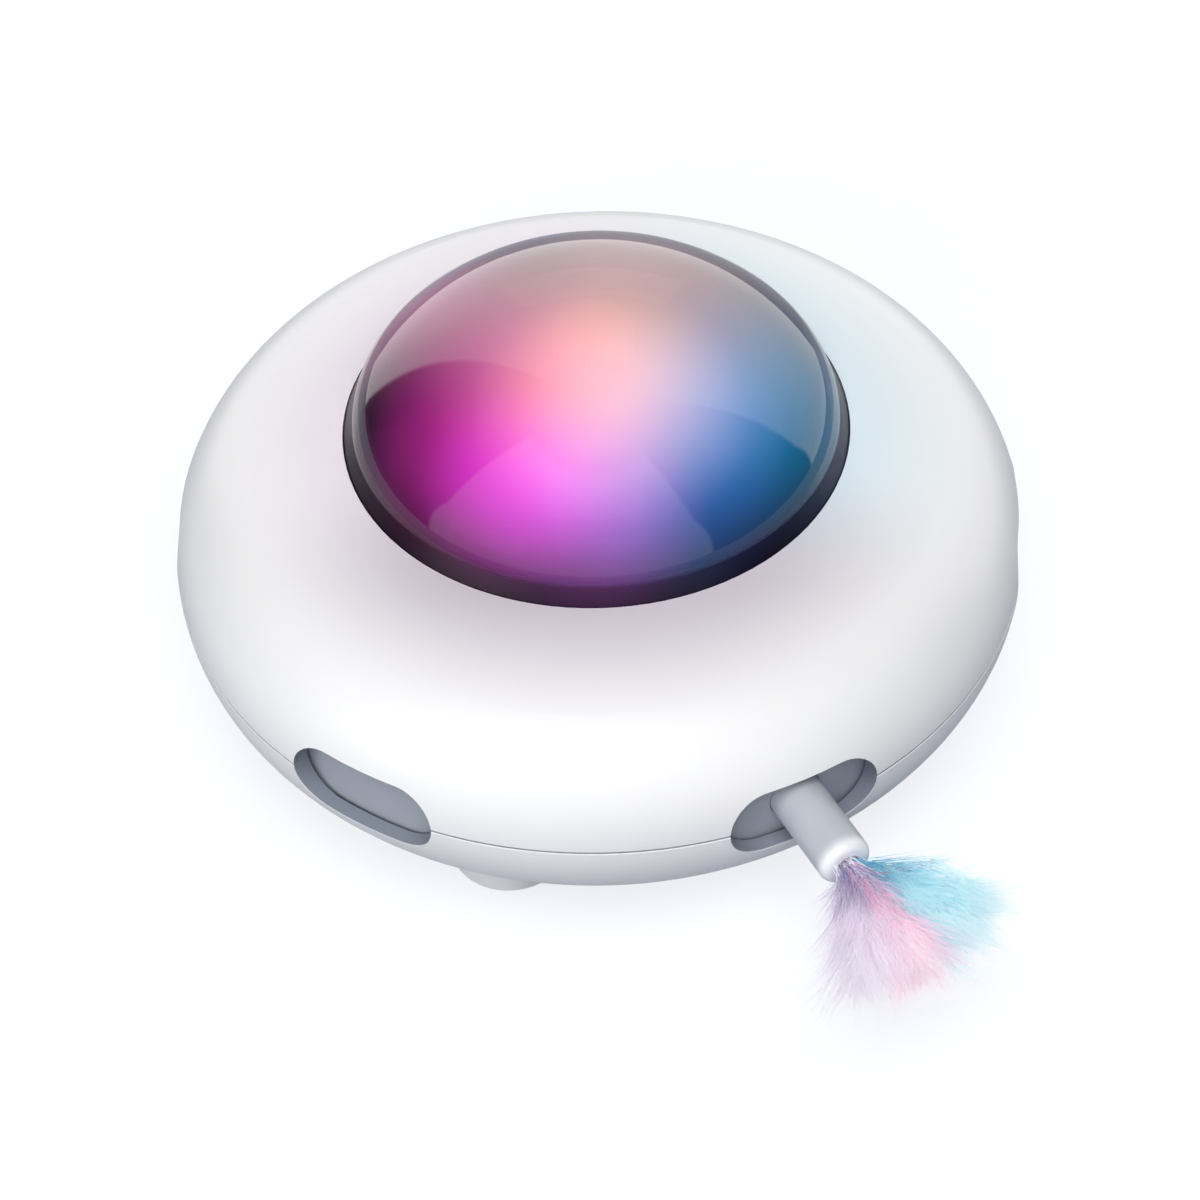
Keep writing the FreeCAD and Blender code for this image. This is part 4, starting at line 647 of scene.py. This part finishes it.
def wisp_mesh(name, roots, first, bend, length, width, tone):
    """Fine tapered wisps, three-sided and closed.

    Wisp k follows p(t) = root_k + length_k (t first_k + t^2 / 2 bend_k) for t from 0 to 1. Its ring
    at t has three corners, width_k (1 - thinning t) from p(t), at right angles to the wisp's way.
    A height h above the rod's middle is then flattened to f tanh(h / f). The plume's half thickness
    f is one number up to its full reach from the rod's end, and falls evenly to a smaller one at
    its tips. The mesh carries t as "along" and each wisp's own tone as "tone".
    """
    count = len(roots)
    t = np.linspace(0, 1, WISP_RINGS)[None, :, None]
    path = roots[:, None] + length[:, None, None] * (t * first[:, None] + t * t / 2 * bend[:, None])
    way = first[:, None] + t * bend[:, None]
    way = way / np.linalg.norm(way, axis=-1, keepdims=True)
    across = np.cross(way, NO_WISP_WAY)
    across = across / np.linalg.norm(across, axis=-1, keepdims=True)
    over = np.cross(way, across)
    turn = np.array([0.0, 2.0, 4.0]) * math.pi / 3
    thick = width[:, None, None, None] * (1 - WISP_THINNING * t[..., None])
    corner = np.cos(turn)[:, None] * across[:, :, None] + np.sin(turn)[:, None] * over[:, :, None]
    points = (path[:, :, None] + thick * corner).reshape(-1, 3)
    near_tip = np.clip((ROD_END - points[:, 1] - PLUME_FULL_REACH) / PLUME_TAPER, 0, 1)
    half = PLUME_HALF_THICK + (PLUME_TIP_HALF_THICK - PLUME_HALF_THICK) * near_tip
    points[:, 2] = SEAM_HEIGHT + half * np.tanh((points[:, 2] - SEAM_HEIGHT) / half)
    base = np.arange(count)[:, None] * WISP_RINGS * 3
    sides = (base[:, None] + ring_faces(WISP_RINGS, 3)[None]).reshape(-1, 4)
    foot = base + np.array([[2, 1, 0]])
    tip = base + (WISP_RINGS - 1) * 3 + np.array([[0, 1, 2]])
    item = mesh_object(name, points, sides.tolist() + foot.tolist() + tip.tolist())
    for title, values in (("along", t), ("tone", tone[:, None, None])):
        layer = item.data.attributes.new(title, "FLOAT", "POINT")
        spread = np.broadcast_to(values, (count, WISP_RINGS, 3))
        layer.data.foreach_set("value", spread.reshape(-1).astype(np.float32))
    return item


def fan_way(angle, lift):
    """A unit direction in the plume's fan, for an angle a across it and a lift l out of its plane.

    It is (sin a cos l, -cos a cos l, sin l).
    """
    flat = np.cos(lift)
    return np.stack([np.sin(angle) * flat, -np.cos(angle) * flat, np.sin(lift)], axis=-1)


def make_tuft(dye, seed, low, high, locks):
    """Loose locks of one dye, and a few bare pale shafts, fanned between two angles.

    A lock shares its shaft, its start along the shaft, its splay and its curl, and each of its
    wisps strays a little from them. A wisp starts near its shaft's way and bends out towards its
    splay.
    """
    chance = np.random.default_rng(seed)
    lock = np.repeat(np.arange(locks), LOCK_WISPS)
    count = len(lock)
    along = (chance.uniform(*LOCK_STARTS, locks) ** LOCK_START_POWER)[lock]
    shaft = chance.uniform(low, high, locks)[lock] + chance.normal(0, WISP_TURN, count)
    lift = chance.normal(0.0, LOCK_LIFT, locks)[lock] + chance.normal(0, WISP_LIFT, count)
    splay = (chance.choice([-1.0, 1.0], locks) * chance.uniform(*LOCK_SPLAYS, locks))[lock]
    curl = chance.normal(0, LOCK_CURL, (locks, 3))[lock]
    curl = curl + chance.normal(0, WISP_CURL, (count, 3))
    tone = chance.uniform(0, 1, locks)[lock] + chance.normal(0, WISP_TONE, count)
    tone = np.clip(tone, 0, 1)
    way = fan_way(shaft, lift)
    start = np.array([0.0, ROD_END + ROOT_DEPTH, SEAM_HEIGHT])
    roots = start + way * (along * SHAFT_LENGTH)[:, None]
    roots = roots + chance.normal(0, WISP_ROOT, (count, 3))
    first_lift = lift + chance.normal(0, WISP_ROOT_LIFT, count)
    first = fan_way(shaft + SPLAY_AT_ROOT * splay, first_lift)
    bend = SPLAY_BEND * (fan_way(shaft + SPLAY_AT_TIP * splay, lift) - way) + curl
    length = chance.uniform(*LOCK_LENGTHS, locks)[lock] + chance.normal(0, WISP_LENGTH, count)
    length = length * (LENGTH_AT_ROOT - LENGTH_LOST * along)
    width = chance.uniform(*WISP_WIDTHS, count)
    bare = chance.choice(count, BARE_SHAFTS, replace=False)
    roots[bare] = start + chance.normal(0, BARE_ROOT, (BARE_SHAFTS, 3))
    first[bare] = way[bare]
    bend[bare] = chance.normal(0, BARE_BEND, (BARE_SHAFTS, 3))
    length[bare] = chance.uniform(*BARE_LENGTHS, BARE_SHAFTS)
    width[bare] = chance.uniform(*BARE_WIDTHS, BARE_SHAFTS)
    tone[bare] = BARE_TONE
    tuft = wisp_mesh("plume_" + dye, roots, first, bend, length, width, tone)
    tuft.data.materials.append(dyed_down("plume_" + dye + "_dye", *PLUME_DYES[dye]))
    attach(tuft, "rod")
    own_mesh(tuft)
    return tuft


def dyed_down(name, root_tone, middle_tone, tip_tone):
    """Dyed down: deep at the root, pale at the tip, deeper or paler from lock to lock, with a faint
    painted glow.
    """
    material, tree, shader, place = new_material(name)
    away = measure(tree, "DISTANCE", place, (0.0, ROD_END, SEAM_HEIGHT))
    along = node(tree, "ShaderNodeAttribute", attribute_name="along").outputs["Fac"]
    tone = node(tree, "ShaderNodeAttribute", attribute_name="tone").outputs["Fac"]
    stray = remap(tree, tone, 0.0, 1.0, -DYE_LINE_STRAY, DYE_LINE_STRAY)
    reach = arithmetic(tree, "ADD", away, stray)
    spread = remap(tree, reach, *PALE_DYE_REACH, 0.0, PALE_BY_REACH)
    faded = arithmetic(tree, "ADD", spread, times(tree, along, PALE_BY_WISP))
    dyed = blend_colour(tree, faded, middle_tone, tip_tone)
    near = falling(tree, away, *DEEP_DYE_ENDS)
    deep = times(tree, near, remap(tree, tone, *DEEP_DYE_TONES, 0.0, 1.0))
    dyed = blend_colour(tree, deep, dyed, root_tone)
    strong = remap(tree, tone, *STRONG_DYE_TONES, 0.0, STRONG_DYE_SHARE)
    dyed = blend_colour(tree, strong, dyed, shade(middle_tone, STRONG_DYE_SHADE))
    bare = remap(tree, tone, BARE_TONE, 0.0, 1.0, 0.0)
    dyed = blend_colour(tree, bare, dyed, BARE_SHAFT_DYE)
    fill(
        shader,
        {
            "Base Color": dyed,
            "Roughness": 0.75,
            "Sheen Weight": 0.3,
            "Sheen Roughness": 0.4,
            # Painted light: a faint glow in the dye's own colour lifts the thin wisps out of their
            # shade.
            "Emission Color": dyed,
            "Emission Strength": 0.2,
        },
    )
    return material


def make_plume():
    """The plume: overlapping tufts of three dyes, fanned out from the rod's end."""
    tufts = [make_tuft(*tuft) for tuft in TUFTS]
    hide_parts("feather")


# ---------------------------------------------------------------- finishes of the frame's nodes

PLAIN_WHITE = colour(0.7, 0.7, 0.71)
SATIN_GREY = colour(0.37, 0.40, 0.455)
MATT_BLACK = colour(0.02, 0.02, 0.023)
WORN_STEEL = colour(0.75, 0.75, 0.77)
WORN_BRASS = colour(0.9, 0.7, 0.38)
WORN_COPPER = colour(0.95, 0.6, 0.42)

# A name in the plural holds the two tones between which its stuff is mottled.
ROD_GREYS = (colour(0.45, 0.475, 0.525), colour(0.49, 0.515, 0.565))
ROD_TIP_HIGHLIGHT = colour(0.85, 0.86, 0.89)
ROD_TIP_ENDS = (0.0005, 0.004)
LACQUERS = (colour(0.015, 0.11, 0.04), colour(0.025, 0.15, 0.055))
TRACK_GREEN = colour(0.05, 0.26, 0.09)
PAD_TIN = colour(0.72, 0.70, 0.62)
WRAP_SILVERS = (colour(0.40, 0.42, 0.47), colour(0.60, 0.62, 0.66))
RUBBER_WHITES = (colour(0.75, 0.75, 0.76), colour(0.80, 0.80, 0.81))
FLOOR_DIRT = colour(0.42, 0.41, 0.40)
DIRT_SHARES = (0.2, 0.7)
DIRT_HEIGHT = 0.0015
NYLON_CREAMS = (colour(0.74, 0.71, 0.62), colour(0.82, 0.80, 0.72))
GREASE = colour(0.62, 0.57, 0.44)
GREASE_EDGE = (0.5, 0.62)
GREASE_COVER = 0.5
DRY_TO_GREASED = (0.5, 0.2)
RESINS = (colour(0.70, 0.68, 0.60), colour(0.82, 0.80, 0.74))
GLASSES = (colour(0.88, 0.93, 0.95), colour(0.95, 0.97, 0.98))
GLASS_ROUGHNESS = (0.01, 0.05)

# Worked lines: how much a grain is drawn out along each axis, their shades, and where they wear.
UPRIGHT_LINES = (1.0, 1.0, 0.03)
ROD_LINES = (1.0, 0.03, 1.0)
WRAP_LINES = (1.0, 0.2, 1.0)
TURN_SCALE = 0.0004
LINE_DARK, LINE_BRIGHT = 0.8, 1.15
LINE_SMOOTH, LINE_ROUGH = 0.7, 1.4
WEAR_EDGE = (0.55, 0.7)
WEAR_SHARE = 0.6

# The boards: the pitch of their tracks, the size of the fields of tracks, and the pads.
TRACK_SCALE = 230.0
TRACK_EDGE = (0.78, 0.84)
FIELD_SCALE = 95.0
PAD_SCALE = 260.0
PAD_EDGE = (0.16, 0.2)
UPRIGHT_FIELDS = 0.5
BARE_FIELDS = 0.72


def satin_rod():
    """Satin grey rod plastic, with a pale painted highlight on its rounded end."""
    material, tree, shader, place = new_material("satin_rod_plastic")
    grey = blend_colour(tree, noise(tree, place, scale=90.0), *ROD_GREYS)
    # Painted highlight: the rounded end turns pale.
    tip_start, tip_end = (ROD_END + reach for reach in ROD_TIP_ENDS)
    pale = falling(tree, split(tree, place)[1], tip_start, tip_end)
    fill(shader, {"Base Color": blend_colour(tree, pale, grey, ROD_TIP_HIGHLIGHT)})
    uneven(tree, shader, place, roughness=0.35, spread=0.06, scale=140.0)
    grain(tree, shader, place, scale=900.0, depth=0.00002)
    return material


def stretched(tree, place, factors):
    """Coordinates stretched by three factors, so that a grain runs in lines."""
    values = {"Vector": place, "Scale": factors}
    return node(tree, "ShaderNodeMapping", values).outputs["Vector"]


def upright_lines(tree, place):
    """Coordinates whose grain runs upright."""
    return stretched(tree, place, UPRIGHT_LINES)


def rod_lines(tree, place):
    """Coordinates whose grain runs the way of the rod."""
    return stretched(tree, place, ROD_LINES)


def turned_lines(tree, place):
    """Coordinates whose grain runs round the upright axis: reach, a slow turn and height."""
    across, deep, height = split(tree, place)
    reach = measure(tree, "LENGTH", level_part(tree, place))
    slow = times(tree, arithmetic(tree, "ARCTAN2", deep, across), TURN_SCALE)
    return joined(tree, reach, slow, height)


def lined_metal(name, tone, worn, roughness, lines):
    """Worked metal: fine lines from the tool, worn brighter in patches. The lines' way is given."""
    material, tree, shader, place = new_material(name)
    fine = noise(tree, lines(tree, place), scale=2500.0, detail=2.0)
    patches = noise(tree, place, scale=220.0, detail=4.0, roughness=0.6)
    base = blend_colour(tree, fine, shade(tone, LINE_DARK), shade(tone, LINE_BRIGHT))
    wear = remap(tree, patches, *WEAR_EDGE, 0.0, WEAR_SHARE, "SMOOTHSTEP")
    rough = times(tree, fine, roughness)
    smooth, coarse = roughness * LINE_SMOOTH, roughness * LINE_ROUGH
    fill(
        shader,
        {
            "Base Color": blend_colour(tree, wear, base, worn),
            "Metallic": 1.0,
            "Roughness": remap(tree, rough, 0.0, roughness, smooth, coarse),
        },
    )
    relief(tree, shader, fine, depth=0.000008)
    return material


def track_lines(tree, place, way):
    """Thin parallel tracks at one pitch."""
    values = {"Vector": place, "Scale": TRACK_SCALE, "Distortion": 0.0}
    wave = node(tree, "ShaderNodeTexWave", values, bands_direction=way).outputs["Fac"]
    return remap(tree, wave, *TRACK_EDGE, 0.0, 1.0)


def green_laminate():
    """Green board laminate: pads, and tracks under the lacquer that change way by fields."""
    material, tree, shader, place = new_material("green_laminate")
    field = {"Vector": place, "Scale": FIELD_SCALE, "Randomness": 0.35}
    fields = node(tree, "ShaderNodeTexVoronoi", field, distance="CHEBYCHEV").outputs["Color"]
    pick = node(tree, "ShaderNodeSeparateColor", {0: fields}).outputs
    upright = arithmetic(tree, "GREATER_THAN", pick[0], UPRIGHT_FIELDS)
    level = arithmetic(tree, "SUBTRACT", 1.0, upright)
    bare = arithmetic(tree, "GREATER_THAN", pick[1], BARE_FIELDS)
    tracked = arithmetic(tree, "SUBTRACT", 1.0, bare)
    across = times(tree, track_lines(tree, place, "X"), upright)
    deep = times(tree, track_lines(tree, place, "Y"), level)
    tracks = times(tree, arithmetic(tree, "ADD", across, deep), tracked)
    spot = {"Vector": place, "Scale": PAD_SCALE, "Randomness": 0.6}
    spots = node(tree, "ShaderNodeTexVoronoi", spot).outputs["Distance"]
    pads = remap(tree, spots, *PAD_EDGE, 1.0, 0.0)
    weave = noise(tree, place, scale=1400.0)
    board = blend_colour(tree, weave, *LACQUERS)
    board = blend_colour(tree, tracks, board, TRACK_GREEN)
    board = blend_colour(tree, pads, board, PAD_TIN)
    fill(shader, {"Base Color": board, "Metallic": pads})
    uneven(tree, shader, place, roughness=0.3, spread=0.06, scale=200.0)
    relief(tree, shader, larger(tree, tracks, pads), depth=0.00003)
    return material


def shrunk_wrap():
    """The cell's silver wrap: long soft creases from shrinking and a faint mottle."""
    material, tree, shader, place = new_material("silver_wrap")
    lines = stretched(tree, place, WRAP_LINES)
    creases = noise(tree, lines, scale=320.0, detail=5.0, roughness=0.65)
    silver = blend_colour(tree, creases, *WRAP_SILVERS)
    fill(shader, {"Base Color": silver, "Metallic": 0.6})
    uneven(tree, shader, place, roughness=0.32, spread=0.1, scale=90.0)
    relief(tree, shader, creases, depth=0.00012)
    return material


def soft_rubber():
    """White foot rubber: a fine stipple, and grey from the floor at its lowest edge."""
    material, tree, shader, place = new_material("soft_white_rubber")
    patches = noise(tree, place, scale=350.0, detail=5.0, roughness=0.7)
    low = falling(tree, split(tree, place)[2], 0.0, DIRT_HEIGHT)
    soiled = times(tree, low, remap(tree, patches, *MOST_NOISE, *DIRT_SHARES))
    clean = blend_colour(tree, patches, *RUBBER_WHITES)
    fill(shader, {"Base Color": blend_colour(tree, soiled, clean, FLOOR_DIRT)})
    uneven(tree, shader, place, roughness=0.62, spread=0.06, scale=200.0)
    grain(tree, shader, place, scale=1600.0, depth=0.00003, strength=0.6)
    return material


def cut_nylon():
    """Natural nylon: milky and waxy, with flow lines round the axis and thin grease in patches."""
    material, tree, shader, place = new_material("natural_nylon")
    flow = noise(tree, turned_lines(tree, place), scale=900.0, roughness=0.6)
    patches = noise(tree, place, scale=170.0, detail=4.0, roughness=0.6)
    grease = rising(tree, patches, *GREASE_EDGE)
    wax = blend_colour(tree, flow, *NYLON_CREAMS)
    greased = blend_colour(tree, times(tree, grease, GREASE_COVER), wax, GREASE)
    rough = remap(tree, grease, 0.0, 1.0, *DRY_TO_GREASED)
    fill(shader, {"Base Color": greased, "Roughness": rough})
    relief(tree, shader, flow, depth=0.00001)
    return material


def lamp_resin():
    """Clear lamp resin, lit in the colour of the dome's light above it."""
    material, tree, shader, place = new_material("lamp_lens_resin")
    above = (0.0, 0.0, LAMP_TO_DOME)
    lifted = node(tree, "ShaderNodeVectorMath", {0: place, 1: above}, operation="ADD")
    patches = noise(tree, place, scale=500.0)
    fill(
        shader,
        {
            "Base Color": blend_colour(tree, patches, *RESINS),
            "Emission Color": glow_colour(tree, lifted.outputs["Vector"]),
            "Emission Strength": LAMP_GLOW_STRENGTH,
        },
    )
    uneven(tree, shader, place, roughness=0.15, spread=0.05, scale=300.0)
    grain(tree, shader, place, scale=1500.0, depth=0.000005)
    return material


def ground_lens():
    """Clear ground lens with the faintest haze."""
    material, tree, shader, place = new_material("ground_lens")
    haze = noise(tree, place, scale=900.0, detail=4.0, roughness=0.6)
    fill(
        shader,
        {
            "Base Color": blend_colour(tree, haze, *GLASSES),
            "Roughness": remap(tree, haze, *MOST_NOISE, *GLASS_ROUGHNESS),
            "Transmission Weight": 1.0,
            "IOR": GLASS_IOR,
        },
    )
    return material


# Worked metals by material slot: name, tone, tone where worn, roughness and the way of the lines.
METALS = {
    "motor_can": ("plated_steel", colour(0.55, 0.55, 0.57), WORN_STEEL, 0.3, upright_lines),
    "screw_steel": ("zinc_steel", colour(0.48, 0.48, 0.5), WORN_STEEL, 0.35, turned_lines),
    "brass": ("turned_brass", colour(0.72, 0.48, 0.2), WORN_BRASS, 0.25, rod_lines),
    "copper": ("worn_copper", colour(0.75, 0.38, 0.22), WORN_COPPER, 0.22, turned_lines),
}


def dress(name, material):
    """Puts a material in every slot of a node of the frame."""
    for slot in frame["nodes"][name].material_slots:
        slot.material = material


def finish_nodes():
    """Gives every node of the frame its own finish by its material slot."""
    grey = moulded("satin_grey_plastic", SATIN_GREY, roughness=0.42)
    black = moulded(
        "matt_black_plastic", MATT_BLACK, roughness=0.5, scale=1800.0, depth=0.00004, mottle=0.2
    )
    finishes = {
        "white_shell": glossy_white(),
        "inner_plastic": moulded("plain_white_plastic", PLAIN_WHITE, roughness=0.5),
        "grey_plastic": grey,
        "dark_plastic": black,
        "smoked_plastic": grey,
        "milky_plastic": grey,
        "gear_plastic": cut_nylon(),
        "board": green_laminate(),
        "lamp": lamp_resin(),
        "lens": ground_lens(),
        "plume": grey,
        "soft_foot": soft_rubber(),
        "cell_wrap": shrunk_wrap(),
    }
    finishes.update((slot, lined_metal(*metal)) for slot, metal in METALS.items())
    for entry in frame["record"]["subparts"]:
        dress(entry["node"], finishes[entry["material_slot"]])
    # The laser turret is no lamp: it gets the milky cap's painted glow.
    dress("laser_turret", lit_milky("lit_turret_plastic"))
    dress("feather_rod", satin_rod())


# ---------------------------------------------------------------- floor and room

FLOOR_SIZE = 6.0
FLOOR_TONE = colour(0.25, 0.27, 0.345)
FLOOR_SEEN = 0.76
FLOOR_FAR = 2.4
FLOOR_SEEN_FAR = 0.97
FLOOR_IN_GLOSS = 0.25
FLOOR_GLOSS_REACH = 0.45
FLOOR_GLOSS_EDGE = 0.01

BACK_WALL_LEFT = math.radians(-47)
BACK_WALL_RIGHT = math.radians(76)
BACK_WALL_STRENGTH = 1.9
BACK_WALL_TOP_SHARE = 0.24
BACK_WALL_FADE_FROM = 0.2
FRONT_BOX_MIDDLE = math.radians(-166)
FRONT_BOX_HALF = math.radians(61)
FRONT_BOX_TOP = math.sin(math.radians(66))
FRONT_BOX_TOP_EDGE = 0.03
FRONT_BOX_STRENGTH = 1.12
SIDE_EDGE = 0.02
CEILING_STRENGTH = 0.46
CEILING_EDGE = math.sin(math.radians(62))
CEILING_FULL = math.sin(math.radians(84))
GAP_STRENGTH = 0.04
AMBIENT = 0.04

# Soft lamps at one distance: name, turn from the front and elevation in degrees, width, height
# and power.
LAMP_DISTANCE = 1.5
LAMPS = (
    ("high_lamp", -3, 64, 1.0, 0.8, 15.8),
    ("front_lamp", 0, 30, 0.9, 0.6, 5.7),
    ("left_lamp", -50, 14, 0.9, 0.6, 7.9),
    ("back_lamp", 180, 25, 1.0, 0.5, 9.1),
    ("right_lamp", 100, 36, 1.0, 0.8, 4.6),
)


def make_floor():
    """A pale floor that keeps the toy's shadow.

    Camera and transmission rays see it near white, and brighter far out. Glossy rays see it dimmer,
    and past a short reach they go on to the room behind it.
    """
    bpy.ops.mesh.primitive_plane_add(size=FLOOR_SIZE, location=(0, 0, 0))
    floor = bpy.context.object
    floor.name = "floor"
    material, tree, shader, place = new_material("pale_floor")
    tree.nodes.remove(shader)
    rays = node(tree, "ShaderNodeLightPath").outputs
    seen = larger(tree, rays["Is Camera Ray"], rays["Is Transmission Ray"])
    away = measure(tree, "LENGTH", place)
    filled = remap(
        tree, away, FLOOR_GLOSS_REACH, FLOOR_FAR, FLOOR_SEEN, FLOOR_SEEN_FAR, "SMOOTHSTEP"
    )
    plain = times(tree, seen, filled)
    dim = times(tree, rays["Is Glossy Ray"], FLOOR_IN_GLOSS)
    strength = arithmetic(tree, "ADD", plain, dim)
    matt = node(tree, "ShaderNodeBsdfDiffuse", {"Color": FLOOR_TONE})
    light = node(tree, "ShaderNodeEmission", {"Color": colour(1, 1, 1), "Strength": strength})
    both = node(tree, "ShaderNodeAddShader", {0: matt.outputs[0], 1: light.outputs[0]})
    near, past = FLOOR_GLOSS_REACH - FLOOR_GLOSS_EDGE, FLOOR_GLOSS_REACH + FLOOR_GLOSS_EDGE
    far = remap(tree, away, near, past, 0.0, 1.0)
    clear = times(tree, far, rays["Is Glossy Ray"])
    gone = node(tree, "ShaderNodeBsdfTransparent")
    shown = node(tree, "ShaderNodeMixShader", {0: clear, 1: both.outputs[0], 2: gone.outputs[0]})
    fill(tree.nodes["Material Output"], {"Surface": shown.outputs[0]})
    floor.data.materials.append(material)


def soft_window(tree, value, low, high, edge):
    """1 between low and high, with narrow soft edges."""
    inside_low = rising(tree, value, low - edge, low + edge)
    return times(tree, inside_low, falling(tree, value, high - edge, high + edge))


def bearing(tree, direction, middle):
    """The level angle of a direction, measured from a middle angle behind the toy."""
    turn = middle - FRONT_AZIMUTH
    right = (math.cos(turn), -math.sin(turn), 0.0)
    ahead = (math.sin(turn), math.cos(turn), 0.0)
    aside = measure(tree, "DOT_PRODUCT", direction, right)
    return arithmetic(tree, "ARCTAN2", aside, measure(tree, "DOT_PRODUCT", direction, ahead))


def make_world():
    """A white room: an even light, and for gloss a back wall, a front box and a ceiling."""
    world = bpy.data.worlds.new("studio")
    world.use_nodes = True
    bpy.context.scene.world = world
    tree = world.node_tree
    direction = node(tree, "ShaderNodeTexCoord").outputs["Generated"]
    height = split(tree, direction)[2]
    behind = bearing(tree, direction, 0.0)
    behind = soft_window(tree, behind, BACK_WALL_LEFT, BACK_WALL_RIGHT, SIDE_EDGE)
    top = BACK_WALL_TOP_SHARE * BACK_WALL_STRENGTH
    fade = remap(tree, height, BACK_WALL_FADE_FROM, 1.0, BACK_WALL_STRENGTH, top)
    sunk = falling(tree, height, CEILING_EDGE, CEILING_FULL)
    wall = times(tree, times(tree, behind, fade), sunk)
    front = bearing(tree, direction, FRONT_BOX_MIDDLE)
    front = soft_window(tree, front, -FRONT_BOX_HALF, FRONT_BOX_HALF, SIDE_EDGE)
    low, high = FRONT_BOX_TOP - FRONT_BOX_TOP_EDGE, FRONT_BOX_TOP + FRONT_BOX_TOP_EDGE
    below = remap(tree, height, low, high, FRONT_BOX_STRENGTH, 0.0, "SMOOTHSTEP")
    box = times(tree, front, below)
    ceiling = remap(
        tree, height, CEILING_EDGE, CEILING_FULL, 0.0, CEILING_STRENGTH, "SMOOTHSTEP"
    )
    sides = larger(tree, larger(tree, wall, box), ceiling)
    gloss = arithmetic(tree, "ADD", sides, GAP_STRENGTH)
    rays = node(tree, "ShaderNodeLightPath").outputs
    clear = larger(tree, rays["Is Camera Ray"], rays["Is Transmission Ray"])
    plain = remap(tree, clear, 0.0, 1.0, AMBIENT, 1.0)
    glossy = rays["Is Glossy Ray"]
    kept = times(tree, plain, arithmetic(tree, "SUBTRACT", 1.0, glossy))
    strength = arithmetic(tree, "ADD", kept, times(tree, gloss, glossy))
    fill(tree.nodes["Background"], {"Color": colour(1, 1, 1), "Strength": strength})


def make_lamps():
    """Five broad soft lamps that face the toy and show in no reflection."""
    for name, turn, elevation, width, height, power in LAMPS:
        data = bpy.data.lights.new(name, "AREA")
        data.shape = "RECTANGLE"
        data.size = width
        data.size_y = height
        data.energy = power
        lamp = new_object(name, data)
        way = unit_way(FRONT_AZIMUTH + math.radians(turn), math.radians(elevation))
        place = Vector(LAMP_DISTANCE * way + (0, 0, SEAM_HEIGHT))
        facing = (MIDDLE - place).to_track_quat("-Z", "Y")
        lamp.matrix_world = Matrix.Translation(place) @ facing.to_matrix().to_4x4()
        lamp.visible_glossy = False


make_camera()
make_floor()
make_world()
make_lamps()
finish_nodes()
make_dome()
make_lit_cap()
make_plume()

bpy.context.scene.view_settings.view_transform = "Standard"
